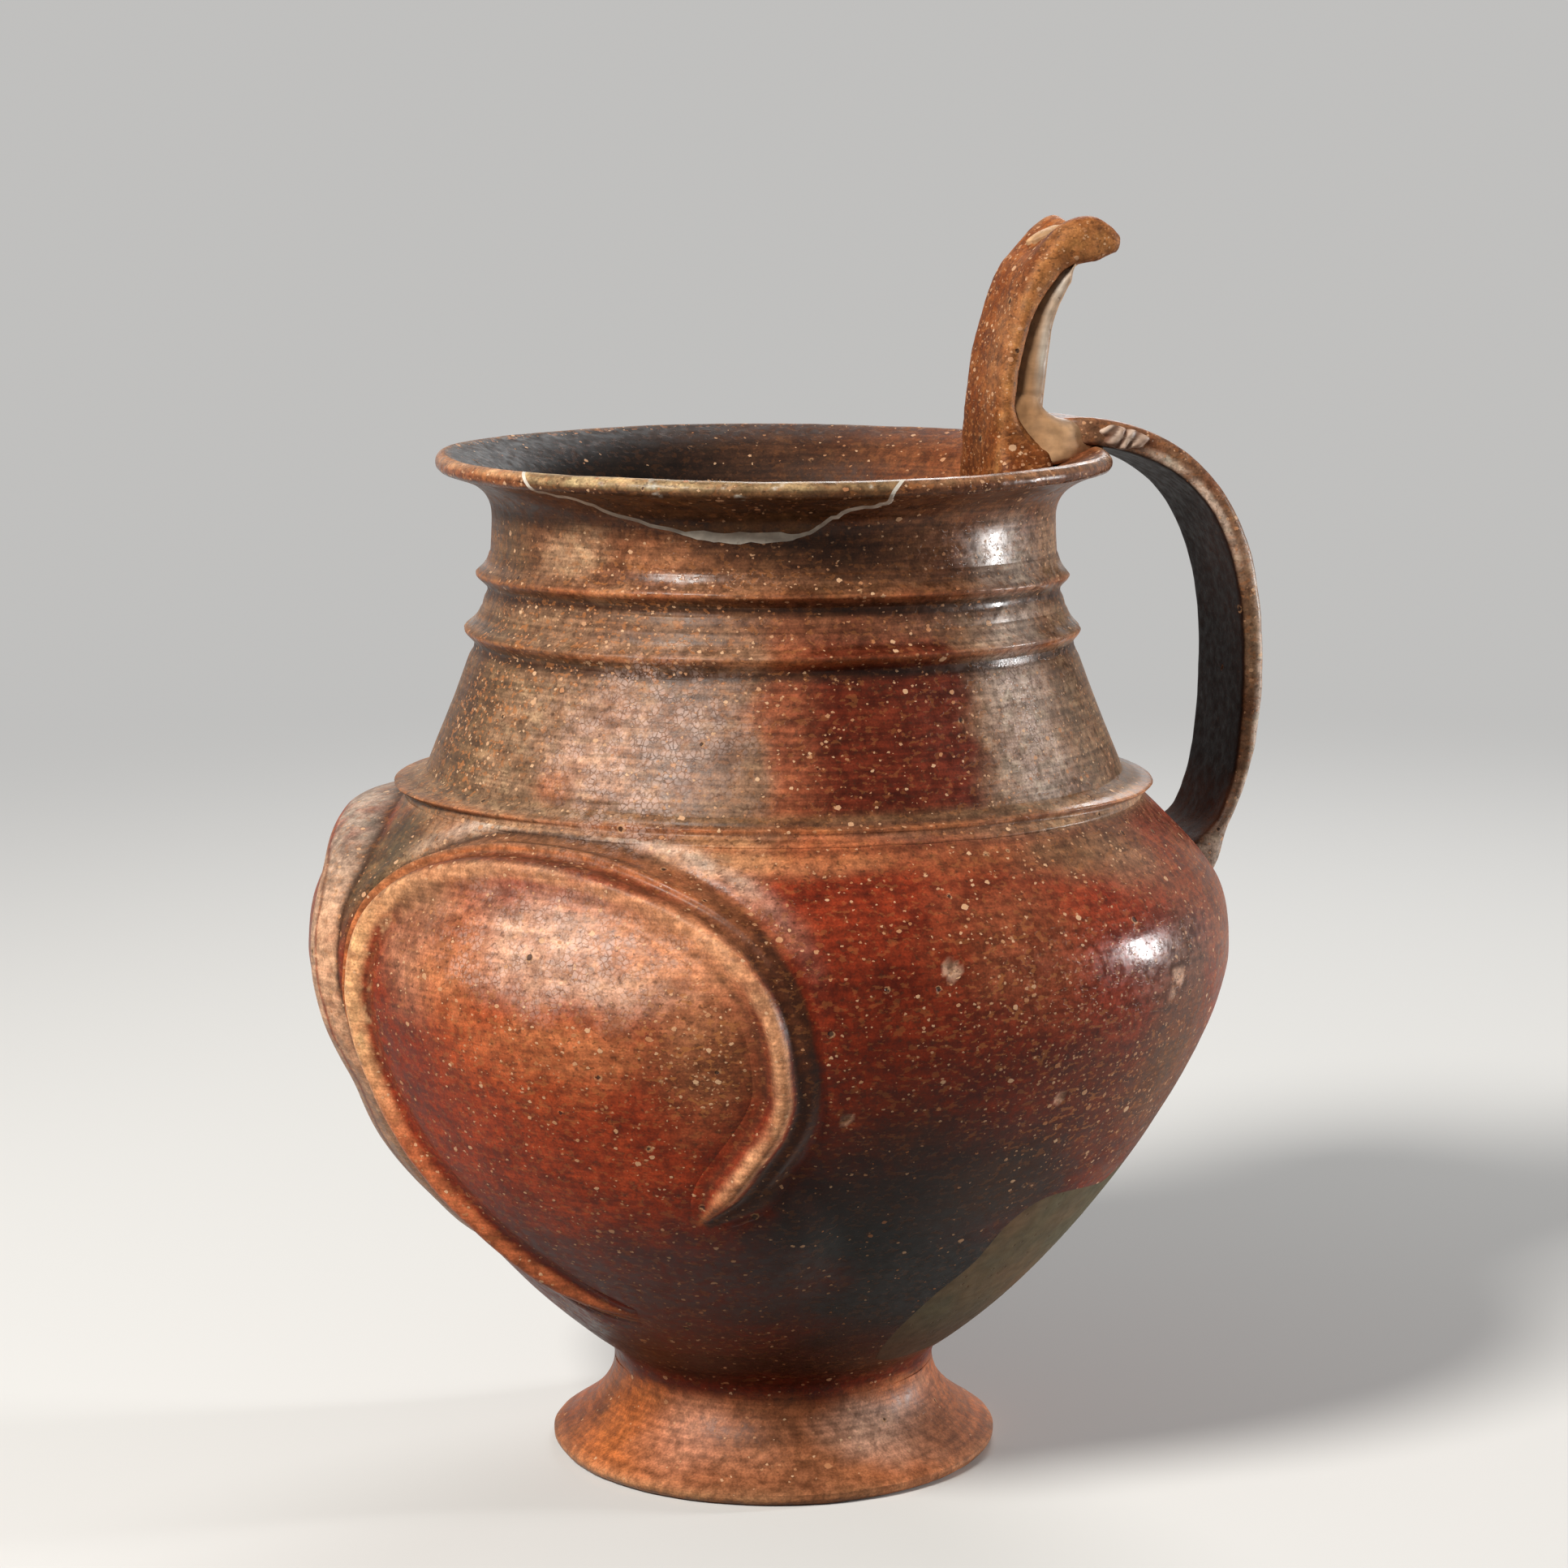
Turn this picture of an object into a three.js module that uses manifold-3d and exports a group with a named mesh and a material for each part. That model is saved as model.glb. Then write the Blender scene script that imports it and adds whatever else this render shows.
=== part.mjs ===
// Hand-built pottery jug: a flared ring foot, a bulging belly with two arched bosses, a tall
// neck under an everted rim, a strap handle and a horn that stands up inside the mouth.
// Millimetres, +Z up, handle toward +X. The origin lies on the ground under the middle of
// the jug's outline, so the vessel's own axis stands a little to the -X side of it.
import * as THREE from 'three';
import { mergeVertices } from 'three/addons/utils/BufferGeometryUtils.js';
import Module from 'manifold-3d';

const wasm = await Module();
wasm.setup();

// Clearance between pieces that meet along a curved face, and facets round the vessel
const SEAT_GAP = 0.3;
const WALL_GROWTH = 1.4 * SEAT_GAP;
const ROUND_STEPS = 48;
const SLOPE_REACH = 3;

// Foot and base
const FOOT_RADIUS = 54;
const FOOT_EDGE_HEIGHT = 3;
const FOOT_REST_WIDTH = 5;
const FOOT_REST_INSET = 2.5;
const FOOT_EDGE_BEVEL = 0.8;
const FOOT_SWEEP = 9;
const FOOT_WALL = 5.5;
const WAIST_RADIUS = 38.8;
const WAIST_HEIGHT = 21;
const BASE_THICKNESS = 6.5;
const BASE_SPREAD = 3.2;

// Belly
const BELLY_WALL = 6.5;
const BELLY_RADIUS = 109;
const BELLY_HEIGHT = 125;
const BELLY_JOINT_DROP = 13;
const SHOULDER_RADIUS = 86;
const SHOULDER_RISE = 38;

// Neck and rim
const NECK_WALL = 6;
const NECK_STEP = 1.4;
const NECK_RISE = 64;
const THROAT_RADIUS = 67;
const NECK_JOINT_DROP = 8;
const FLARE_OUT = 13;
const FLARE_RISE = 15;
const LIP_EDGE = 3.8;
const LIP_BEVEL = 0.7;
const FLARE_DROOP = 1.8;
const FLARE_PULL = 7;
const MOUTH_DISH = 2.5;
const RIM_LEAN_DEGREES = 1.9;
const RIM_LEAN_TOWARD = 253;

// Cordons laid round the neck, each so far below the throat, and one round the shoulder
const LOWER_CORDON = { drop: 27.2, out: 2.7, width: 9 };
const UPPER_CORDON = { drop: 13.8, out: 2.6, width: 8 };
const SHOULDER_CORDON = { out: 4.4, rise: 1, edge: 1.6, below: 3.2, above: 3.4, shelf: 2.2 };
const CORDON_DEPTH = 2.5;
const CORDON_FEATHER = 0.7;

// The pair of bosses, mirrored across BOSS_PAIR_ANGLE, and how far each pushes the wall out
const BOSS_PAIR_ANGLE = 189;
const BOSS_SPREAD = 36.5;
const BOSS_DROP = 13;
const BOSS_SIDE_SWELL = 1.2;
const BOSS_LOWER_SWELL = { amount: 5.2, rise: -36, spread: 24 };
const BOSS_UPPER_SWELL = { amount: 4.8, rise: 43, spread: 9 };
const BOSS_CROWN_SWELL = 2.5;
const BOSS_CROWN_SPREAD = 34;
const FLANK_OUTSIDE = 8;
const FLANK_INSIDE = 3;
const OPEN_SIDE_SOFTNESS = 3.5;

// Arched rib round each boss: degrees from the boss's middle line, and rise above its centre
// as a share of the rib's reach below it
const RIB_REACH = 65;
const RIB_LINE = [
  [20.5, -0.431], [24.5, -0.285], [28, -0.123], [28.8, 0.031], [26.6, 0.303],
  [19.7, 0.505], [6.7, 0.634], [-8.4, 0.658], [-19, 0.592], [-26.6, 0.437], [-28.5, 0.185],
  [-28.9, -0.108], [-26.3, -0.308], [-19.7, -0.606], [-14.8, -0.8], [-6, -0.946],
  [4.3, -1],
];
const RIB_STEPS = 36;
const RIB_CREST = 3;
const RIB_INNER_WIDTH = 5;
const RIB_OUTER_WIDTH = 8;
const RIB_EDGE = 0.9;
const RIB_DEPTH = 3;
const RIB_TAPER = 0.14;
const RIB_END_WIDTH = 0.6;

// Strap handle
const STRAP_WIDTH = 30;
const STRAP_ROOT_WIDTH = 28;
const STRAP_LANDING_WIDTH = 34;
const STRAP_THICKNESS = 5.4;
const STRAP_ROOT_THICKNESS = 7;
const STRAP_LOW_THICKNESS = 3.6;
const STRAP_FOOT_THICKNESS = 10;
const STRAP_BORDER = 1.1;
const STRAP_STAND_OFF = 9.7;
const STRAP_REACH_DROP = 37;
const STRAP_ROOT_INSET = 4;
const STRAP_ROOT_PULL = 33.7;
const STRAP_ROOT_FALL = 3.4;
const STRAP_BOW_ABOVE = 26;
const STRAP_BOW_BELOW = 22;
const STRAP_LANDING_RISE = 16;
const STRAP_LANDING_PULL = 10;
const STRAP_SINK = 3;
const STRAP_STEPS = 26;
const EDGE_ROUND = 1.2;

// Horn: it stands in from the throat, rises above the mouth and leans out over the handle
const HORN_WIDTH = 26;
const HORN_ROOT_WIDTH = 33;
const HORN_THICKNESS = 5;
const HORN_BEND_THICKNESS = 7.4;
const HORN_TIP_THICKNESS = 9.6;
const HORN_TIP_ROUNDING = 0.55;
const HORN_STAND_IN = 14;
const HORN_ROUND = 1.8;
const HORN_TIP_PULL = 20;
const HORN_TIP_ARCH = 3.5;
const HORN_STEM_PULL = 27;
const HORN_RISE = 48.5;
const HORN_REACH = 27.5;
const HORN_BEDDING = 1.5;
const HORN_ROOT_DEPTH = 27;
const HORN_ROOT_TAPER = 3;
const HORN_SADDLE = 2.4;
const HORN_STEPS = 22;

// Repairs: fills in the handle's fork, on the horn, on the strap and in the belly
const FILL_WIDTH = 24;
const FILL_THICKNESS = 7;
const FILL_TIP_THICKNESS = 0.8;
const FILL_BEDDING = 1;
const FILL_FOOT_TOP = 6.5;
const FILL_FOOT_DROP = 6;
const FILL_CORNER = 3.5;
const FILL_TIP_SHARE = 0.26;
const FILL_STEPS = 10;
const TIP_FILL = { share: 0.2, length: 10, width: 6, thickness: 1.6, aside: 2.5 };
const MEND = { share: 0.035, length: 12, height: 6, thickness: 2.4, slimming: 0.7 };
const SEAM_WIDTH = 0.8;
const SHERD_ANGLE = 243;
const SHERD_REACH = 46;
const SHERD_STAND = 0.8;
const CRACK_CLEARANCE = 12;
const PATCH_ANGLE = 308;

// Crack round the sherd: share of its reach across, and depth as a share of the flare's rise
const CRACK_LINE = [
  [-1, -0.067], [-0.935, 0.367], [-0.709, 0.553], [-0.504, 0.773], [-0.248, 0.953],
  [-0.076, 1.073], [0.059, 1.127], [0.296, 1.093], [0.4, 1.033], [0.472, 0.927],
  [0.591, 0.693], [0.752, 0.58], [0.839, 0.453], [0.935, -0.067],
];

// Patch in the belly: millimetres across, and height above the base
const PATCH_LINE = [
  [12, 46.5], [-13, 49], [-22, 44], [-23.5, 33.5], [-27, 24.5], [-26, 13.5], [-20, 4.5],
  [-8, 3], [10, 5], [22, 13.5], [33, 26.5], [41, 42.5], [27, 49],
];

const DEGREE = Math.PI / 180;
const BASE_TOP = WAIST_HEIGHT + BASE_THICKNESS;
const BASE_RADIUS = WAIST_RADIUS + BASE_SPREAD;
const BELLY_JOINT = BELLY_HEIGHT - BELLY_JOINT_DROP;
const SHOULDER_HEIGHT = BELLY_HEIGHT + SHOULDER_RISE;
const NECK_FOOT_RADIUS = SHOULDER_RADIUS - NECK_STEP;
const THROAT_HEIGHT = SHOULDER_HEIGHT + NECK_RISE;
const NECK_JOINT = THROAT_HEIGHT - NECK_JOINT_DROP;
const MOUTH_RADIUS = THROAT_RADIUS + FLARE_OUT;
const MOUTH_HEIGHT = THROAT_HEIGHT + FLARE_RISE;
const BOSS_HEIGHT = BELLY_HEIGHT - BOSS_DROP;
const THROAT_BORE = THROAT_RADIUS - NECK_WALL;
const up = new THREE.Vector3(0, 0, 1);

function point(x, y) {
  return new THREE.Vector2(x, y);
}

function bezier(start, startPull, endPull, end) {
  return new THREE.CubicBezierCurve(start, startPull, endPull, end);
}

function smooth(from, to, value) {
  return THREE.MathUtils.smoothstep(value, from, to);
}

// Outline of the wall as curves of radius against height. Each of a curve's two pulls is a
// share of its span across and of its span up
function wallCurve(start, end, startPull, endPull) {
  const pulled = ([across, rise]) => point(
    THREE.MathUtils.lerp(start.x, end.x, across),
    THREE.MathUtils.lerp(start.y, end.y, rise),
  );
  return bezier(start, pulled(startPull), pulled(endPull), end);
}

const footEdge = point(FOOT_RADIUS, FOOT_EDGE_HEIGHT);
const waist = point(WAIST_RADIUS, WAIST_HEIGHT);
const baseEdge = point(BASE_RADIUS, BASE_TOP);
const widest = point(BELLY_RADIUS, BELLY_HEIGHT);
const shoulder = point(SHOULDER_RADIUS, SHOULDER_HEIGHT);
const neckFoot = point(NECK_FOOT_RADIUS, SHOULDER_HEIGHT);
const throat = point(THROAT_RADIUS, THROAT_HEIGHT);
const footCurve = wallCurve(footEdge, waist, [0.33, 0.194], [1, 0.5]);
const baseCurve = wallCurve(waist, baseEdge, [0, 0.385], [0.375, 0.754]);
const lowerCurve = wallCurve(baseEdge, widest, [0.522, 0.246], [1, 0.805]);
const upperCurve = wallCurve(widest, shoulder, [0, 0.44], [0.13, 0.474]);
const neckCurve = wallCurve(neckFoot, throat, [0.284, 0.234], [1, 0.5625]);
const wallSamples = [footCurve, baseCurve, lowerCurve, upperCurve, neckCurve].flatMap(
  (curve) => curve.getPoints(60),
);

function wallRadius(height) {
  const above = wallSamples.findIndex((sample) => sample.y > height);
  if (above < 1) return above === 0 ? wallSamples[0].x : wallSamples.at(-1).x;
  const low = wallSamples[above - 1];
  const high = wallSamples[above];
  return THREE.MathUtils.mapLinear(height, low.y, high.y, low.x, high.x);
}

function wallClimb(height) {
  let climb = 0;
  for (let i = 1; i < wallSamples.length && wallSamples[i].y < height; i += 1) {
    climb += wallSamples[i].distanceTo(wallSamples[i - 1]);
  }
  return climb;
}

// Bosses: the arch laid flat on the wall, in millimetres across and along it
const bosses = [
  { angle: BOSS_PAIR_ANGLE + BOSS_SPREAD, side: 1 },
  { angle: BOSS_PAIR_ANGLE - BOSS_SPREAD, side: -1 },
];
const centreClimb = wallClimb(BOSS_HEIGHT);
const ribCurve = new THREE.SplineCurve(
  RIB_LINE.map(([turn, rise]) => point(turn, rise * RIB_REACH)),
);

function laidFlat(turn, height) {
  return point(turn * DEGREE * wallRadius(height), wallClimb(height) - centreClimb);
}

const archLine = ribCurve
  .getPoints(RIB_STEPS)
  .map((spot) => laidFlat(spot.x, BOSS_HEIGHT + spot.y));

function distanceToSegment(spot, start, end) {
  const along = end.clone().sub(start);
  const share = spot.clone().sub(start).dot(along) / along.lengthSq();
  const nearest = start.clone().addScaledVector(along, THREE.MathUtils.clamp(share, 0, 1));
  return spot.distanceTo(nearest);
}

function insideArch(spot) {
  let inside = false;
  archLine.forEach((end, i) => {
    const start = archLine.at(i - 1);
    const crosses = start.y > spot.y !== end.y > spot.y;
    const reach = ((end.x - start.x) * (spot.y - start.y)) / (end.y - start.y) + start.x;
    if (crosses && spot.x < reach) inside = !inside;
  });
  return inside;
}

// How deep a spot lies inside the arch, with a softer border on the arch's open side
function archDepth(spot) {
  let depth = distanceToSegment(spot, archLine.at(-1), archLine[0]) / OPEN_SIDE_SOFTNESS;
  for (let i = 1; i < archLine.length; i += 1) {
    depth = Math.min(depth, distanceToSegment(spot, archLine[i - 1], archLine[i]));
  }
  return insideArch(spot) ? depth : -depth;
}

function bell(value, { amount, rise, spread }) {
  return amount * Math.exp(-(((value - rise) / spread) ** 2));
}

function bossSwell(spot, rise) {
  const crown = { amount: BOSS_CROWN_SWELL, rise: 0, spread: BOSS_CROWN_SPREAD };
  return BOSS_SIDE_SWELL + bell(rise, BOSS_LOWER_SWELL) + bell(rise, BOSS_UPPER_SWELL)
    + bell(spot.length(), crown);
}

function bossPush(angle, height) {
  let push = 0;
  for (const boss of bosses) {
    const turn = boss.side * (THREE.MathUtils.euclideanModulo(angle - boss.angle + 180, 360) - 180);
    const spot = laidFlat(turn, height);
    const share = smooth(-FLANK_OUTSIDE, FLANK_INSIDE, archDepth(spot));
    push = Math.max(push, share * bossSwell(spot, height - BOSS_HEIGHT));
  }
  return push;
}

function wallPoint(angle, height, push) {
  const radius = wallRadius(height) + push;
  const turn = angle * DEGREE;
  return new THREE.Vector3(radius * Math.cos(turn), radius * Math.sin(turn), height);
}

// How fast the radius grows with height, averaged over a short stretch of wall
function wallSlope(height) {
  return (wallRadius(height + SLOPE_REACH) - wallRadius(height - SLOPE_REACH)) / (2 * SLOPE_REACH);
}

// Solids: a merged geometry becomes a body for joining and cutting, and comes back again
function body(geometry) {
  const bare = geometry.clone();
  bare.deleteAttribute('normal');
  bare.deleteAttribute('uv');
  const merged = mergeVertices(bare);
  return new wasm.Manifold(new wasm.Mesh({
    numProp: 3,
    vertProperties: new Float32Array(merged.attributes.position.array),
    triVerts: new Uint32Array(merged.index.array),
  }));
}

function geometryOf(solid) {
  const mesh = solid.getMesh();
  const geometry = new THREE.BufferGeometry();
  geometry.setAttribute('position', new THREE.BufferAttribute(mesh.vertProperties, 3));
  geometry.setIndex(new THREE.BufferAttribute(mesh.triVerts, 1));
  geometry.computeVertexNormals();
  return geometry;
}

// Solid with every corner moved outward by a distance
function swollen(solid, distance) {
  const geometry = geometryOf(solid);
  const { position, normal } = geometry.attributes;
  for (let i = 0; i < position.count; i += 1) {
    position.setXYZ(
      i,
      position.getX(i) + normal.getX(i) * distance,
      position.getY(i) + normal.getY(i) * distance,
      position.getZ(i) + normal.getZ(i) * distance,
    );
  }
  return body(geometry);
}

// Closed outline with every corner moved outward by a distance
function grown(outline, distance) {
  return outline.map((corner, i) => {
    const before = corner.clone().sub(outline.at(i - 1)).normalize();
    const after = outline[(i + 1) % outline.length].clone().sub(corner).normalize();
    const normal = point(before.y + after.y, -before.x - after.x).normalize();
    const stretch = Math.max(0.5, normal.dot(point(after.y, -after.x)));
    return corner.clone().addScaledVector(normal, distance / stretch);
  });
}

// Turned ring: a closed outline of radius against height, pushed out where the bosses are
function turned(outline, move = () => {}) {
  const geometry = new THREE.LatheGeometry([...outline, outline[0]], ROUND_STEPS);
  geometry.rotateX(Math.PI / 2);
  const position = geometry.attributes.position;
  const spot = new THREE.Vector3();
  for (let i = 0; i < position.count; i += 1) {
    spot.fromBufferAttribute(position, i);
    move(spot);
    position.setXYZ(i, spot.x, spot.y, spot.z);
  }
  return body(geometry);
}

function pushOut(spot) {
  const angle = Math.atan2(spot.y, spot.x) / DEGREE;
  const radius = Math.hypot(spot.x, spot.y);
  const scale = (radius + bossPush(angle, spot.z)) / radius;
  spot.x *= scale;
  spot.y *= scale;
}

function leanRim(spot) {
  const slope = Math.tan(RIM_LEAN_DEGREES * DEGREE);
  const toward = RIM_LEAN_TOWARD * DEGREE;
  const ahead = spot.x * Math.cos(toward) + spot.y * Math.sin(toward);
  spot.z -= slope * ahead * smooth(NECK_JOINT, MOUTH_HEIGHT - LIP_EDGE, spot.z);
}

// Wall between two heights: its outer curve going up, then its inside going down in half as
// many steps
function wallOutline(bottom, top, steps, wall) {
  const outside = [];
  const inside = [];
  for (let i = 0; i <= steps; i += 1) {
    const height = THREE.MathUtils.lerp(bottom, top, i / steps);
    const depth = wall * Math.hypot(1, wallSlope(height));
    outside.push(point(wallRadius(height), height));
    if (i % 2 === 0) inside.unshift(point(wallRadius(height) - depth, height));
  }
  return [...outside, ...inside];
}

// Loft: closed rings of corners, counter-clockwise as seen from the end they run toward
function loft(rings) {
  const corners = rings[0].length;
  const middles = [rings[0], rings.at(-1)].map((ring) => ring
    .reduce((sum, corner) => sum.add(corner), new THREE.Vector3())
    .divideScalar(corners));
  const positions = [...rings.flat(), ...middles].flatMap((corner) => corner.toArray());
  const last = (rings.length - 1) * corners;
  const startMiddle = rings.length * corners;
  const index = [];
  for (let j = 0; j < corners; j += 1) {
    const k = (j + 1) % corners;
    for (let row = 0; row < last; row += corners) {
      index.push(row + j, row + k, row + corners + k);
      index.push(row + j, row + corners + k, row + corners + j);
    }
    index.push(startMiddle, k, j, startMiddle + 1, last + j, last + k);
  }
  const geometry = new THREE.BufferGeometry();
  geometry.setAttribute('position', new THREE.Float32BufferAttribute(positions, 3));
  geometry.setIndex(index);
  return body(geometry);
}

// Prism out through one side of the vessel, its outline drawn square to that direction
function wallPrism(outline, angle) {
  const outward = new THREE.Vector3(Math.cos(angle * DEGREE), Math.sin(angle * DEGREE), 0);
  const across = new THREE.Vector3().crossVectors(up, outward);
  const geometry = new THREE.ExtrudeGeometry(new THREE.Shape(outline), {
    depth: 2 * BELLY_RADIUS,
    bevelEnabled: false,
  });
  geometry.applyMatrix4(new THREE.Matrix4().makeBasis(across, up, outward));
  return body(geometry);
}

// Ring of corners across a path in the handle's plane; the second number of each corner
// runs to the left of the path, away from the vessel when the path goes down
function ringAcross(spot, direction, corners) {
  const normal = point(-direction.y, direction.x);
  return corners.map(([across, out]) => new THREE.Vector3(
    spot.x + normal.x * out,
    across,
    spot.y + normal.y * out,
  ));
}

// Foot ring: hollow underneath, it stands on a narrow flat ring
function footRing() {
  const restOutside = FOOT_RADIUS - FOOT_REST_INSET;
  const restInside = restOutside - FOOT_REST_WIDTH;
  const hollow = bezier(
    point(WAIST_RADIUS - FOOT_WALL, WAIST_HEIGHT),
    point(WAIST_RADIUS - FOOT_WALL, WAIST_HEIGHT - FOOT_SWEEP),
    point(restInside - FOOT_WALL, FOOT_EDGE_HEIGHT),
    point(restInside, 0),
  );
  return turned([
    point(restOutside, 0),
    point(FOOT_RADIUS - FOOT_EDGE_BEVEL, FOOT_EDGE_HEIGHT / 3),
    ...footCurve.getPoints(6),
    ...hollow.getPoints(4),
  ]);
}

// Base disc: the floor of the vessel, between the foot ring and the lower belly
function baseDisc() {
  return turned([
    point(0, WAIST_HEIGHT),
    ...baseCurve.getPoints(3),
    point(0, BASE_TOP),
  ]);
}

// Belly: two walls that meet just below its widest height
function lowerWall() {
  return turned(wallOutline(BASE_TOP, BELLY_JOINT, 10, BELLY_WALL), pushOut);
}

function upperWall() {
  return turned(wallOutline(BELLY_JOINT, SHOULDER_HEIGHT, 8, BELLY_WALL), pushOut);
}

// Neck and rim, exact or grown by a clearance to cut what rests on them
function neckWall(extra) {
  const outline = wallOutline(SHOULDER_HEIGHT, NECK_JOINT, 6, NECK_WALL);
  return turned(grown(outline, extra));
}

function rimWall(extra) {
  const lipBottom = MOUTH_HEIGHT - LIP_EDGE;
  const flare = bezier(
    point(THROAT_RADIUS, THROAT_HEIGHT),
    point(THROAT_RADIUS, THROAT_HEIGHT + FLARE_PULL),
    point(MOUTH_RADIUS - FLARE_PULL, lipBottom - FLARE_DROOP),
    point(MOUTH_RADIUS - LIP_BEVEL, lipBottom),
  );
  const dish = bezier(
    point(MOUTH_RADIUS - 3 * LIP_BEVEL, MOUTH_HEIGHT),
    point(MOUTH_RADIUS - 3 * LIP_BEVEL - FLARE_PULL, MOUTH_HEIGHT - MOUTH_DISH),
    point(THROAT_BORE, lipBottom - MOUTH_DISH),
    point(THROAT_BORE, THROAT_HEIGHT - MOUTH_DISH),
  );
  const outline = [
    point(wallRadius(NECK_JOINT), NECK_JOINT),
    ...flare.getPoints(5),
    point(MOUTH_RADIUS, MOUTH_HEIGHT - LIP_EDGE / 2),
    point(MOUTH_RADIUS - LIP_BEVEL, MOUTH_HEIGHT - LIP_BEVEL),
    ...dish.getPoints(5),
    point(wallRadius(NECK_JOINT) - NECK_WALL, NECK_JOINT),
  ];
  return turned(grown(outline, extra), leanRim);
}

const lower = lowerWall();
const upper = upperWall();
const rim = rimWall(0);
const lowerCut = swollen(lower, WALL_GROWTH);
const upperCut = swollen(upper, WALL_GROWTH);
const neckCut = neckWall(SEAT_GAP);
const rimCut = rimWall(SEAT_GAP);

// Cordons: strips of clay laid round the neck, and a sharper one over the shoulder
function neckCordon({ drop, out, width }) {
  const height = THROAT_HEIGHT - drop;
  const side = (rise, stand) => point(wallRadius(height + rise) + stand, height + rise);
  return turned([
    side(-width / 2, -CORDON_DEPTH),
    side(-width / 2, CORDON_FEATHER),
    side(-width / 5, out * 0.7),
    side(-width / 20, out),
    side(width / 12, out),
    side(width / 4, out * 0.6),
    side(width / 2, CORDON_FEATHER),
    side(width / 2, -CORDON_DEPTH),
  ]).subtract(neckCut);
}

function shoulderCordon() {
  const { out, rise, edge, below, above, shelf } = SHOULDER_CORDON;
  const radius = SHOULDER_RADIUS + out;
  const middle = SHOULDER_HEIGHT + rise;
  const low = wallRadius(middle - below);
  const high = wallRadius(middle + above);
  return turned([
    point(low - CORDON_DEPTH, middle - below),
    point(low + CORDON_FEATHER, middle - below),
    point(radius - edge / 4, middle - edge / 2),
    point(radius, middle + edge / 3),
    point(radius - edge / 2, middle + edge / 2),
    point(high + shelf, middle + edge),
    point(high + CORDON_FEATHER, middle + above),
    point(high - CORDON_DEPTH, middle + above),
  ]).subtract(neckCut).subtract(upperCut);
}

// Rib over a boss: a rounded crest, a groove and a thin ridge on the outer side.
// Each corner: distance inward across the rib, share of the boss's swell, height above it
const RIB_CORNERS = [
  [-RIB_OUTER_WIDTH, 0, -RIB_DEPTH],
  [RIB_INNER_WIDTH, 1, -RIB_DEPTH],
  [RIB_INNER_WIDTH, 1, RIB_EDGE],
  [RIB_INNER_WIDTH / 2, 1, RIB_CREST * 0.7],
  [0, 1, RIB_CREST],
  [-RIB_OUTER_WIDTH * 0.3, 0.9, RIB_CREST * 0.6],
  [-RIB_OUTER_WIDTH * 0.5, 0.8, RIB_CREST * 0.4],
  [-RIB_OUTER_WIDTH * 0.75, 0.7, RIB_CREST * 0.6],
  [-RIB_OUTER_WIDTH, 0.15, RIB_EDGE],
];

function ribRing(boss, before, here, after, fullness) {
  const angleOf = (spot) => boss.angle + boss.side * spot.x;
  const place = (spot) => wallPoint(angleOf(spot), BOSS_HEIGHT + spot.y, 0);
  const middle = place(here);
  const turn = angleOf(here) * DEGREE;
  const normal = new THREE.Vector3(Math.cos(turn), Math.sin(turn), -wallSlope(middle.z));
  normal.normalize();
  const along = place(after).sub(place(before)).normalize();
  const inward = new THREE.Vector3().crossVectors(normal, along);
  const narrowing = THREE.MathUtils.lerp(RIB_END_WIDTH, 1, fullness);
  return RIB_CORNERS.map(([across, share, rise]) => {
    const spot = middle.clone().addScaledVector(inward, across * narrowing);
    const angle = Math.atan2(spot.y, spot.x) / DEGREE;
    const swell = bossSwell(laidFlat(here.x, spot.z), spot.z - BOSS_HEIGHT);
    const lift = rise > RIB_EDGE ? THREE.MathUtils.lerp(RIB_EDGE, rise, fullness) : rise;
    return wallPoint(angle, spot.z, share * swell).addScaledVector(normal, lift);
  });
}

function bossRib(boss) {
  const line = ribCurve.getSpacedPoints(RIB_STEPS);
  if (boss.side < 0) line.reverse();
  const rings = line.map((here, i) => {
    const before = line[Math.max(0, i - 1)];
    const after = line[Math.min(RIB_STEPS, i + 1)];
    const share = i / RIB_STEPS;
    const fullness = smooth(0, RIB_TAPER, share) * smooth(0, RIB_TAPER, 1 - share);
    return ribRing(boss, before, here, after, fullness);
  });
  return loft(rings).subtract(lowerCut).subtract(upperCut);
}

// Strap: from the top of the rim out past the belly and down onto the shoulder
const strapReach = BELLY_RADIUS + STRAP_STAND_OFF;
const strapRoot = point(
  MOUTH_RADIUS - STRAP_ROOT_INSET,
  MOUTH_HEIGHT + STRAP_ROOT_THICKNESS / 2 + SEAT_GAP,
);
const strapReachHeight = THROAT_HEIGHT - STRAP_REACH_DROP;
const landingHeight = BELLY_HEIGHT + STRAP_LANDING_RISE;
const landing = point(wallRadius(landingHeight), landingHeight);
const strapCurves = [
  bezier(
    strapRoot,
    point(strapRoot.x + STRAP_ROOT_PULL, strapRoot.y - STRAP_ROOT_FALL),
    point(strapReach, strapReachHeight + STRAP_BOW_ABOVE),
    point(strapReach, strapReachHeight),
  ),
  bezier(
    point(strapReach, strapReachHeight),
    point(strapReach, strapReachHeight - STRAP_BOW_BELOW),
    point(landing.x + STRAP_LANDING_PULL, landing.y + STRAP_LANDING_PULL),
    point(landing.x - STRAP_SINK, landing.y - STRAP_SINK / 2),
  ),
];

function strapThickness(share) {
  const { lerp } = THREE.MathUtils;
  const upper = lerp(STRAP_ROOT_THICKNESS, STRAP_THICKNESS, smooth(0, 0.25, share));
  const lower = lerp(upper, STRAP_LOW_THICKNESS, smooth(0.55, 0.85, share));
  return lerp(lower, STRAP_FOOT_THICKNESS, smooth(0.86, 1, share));
}

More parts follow.
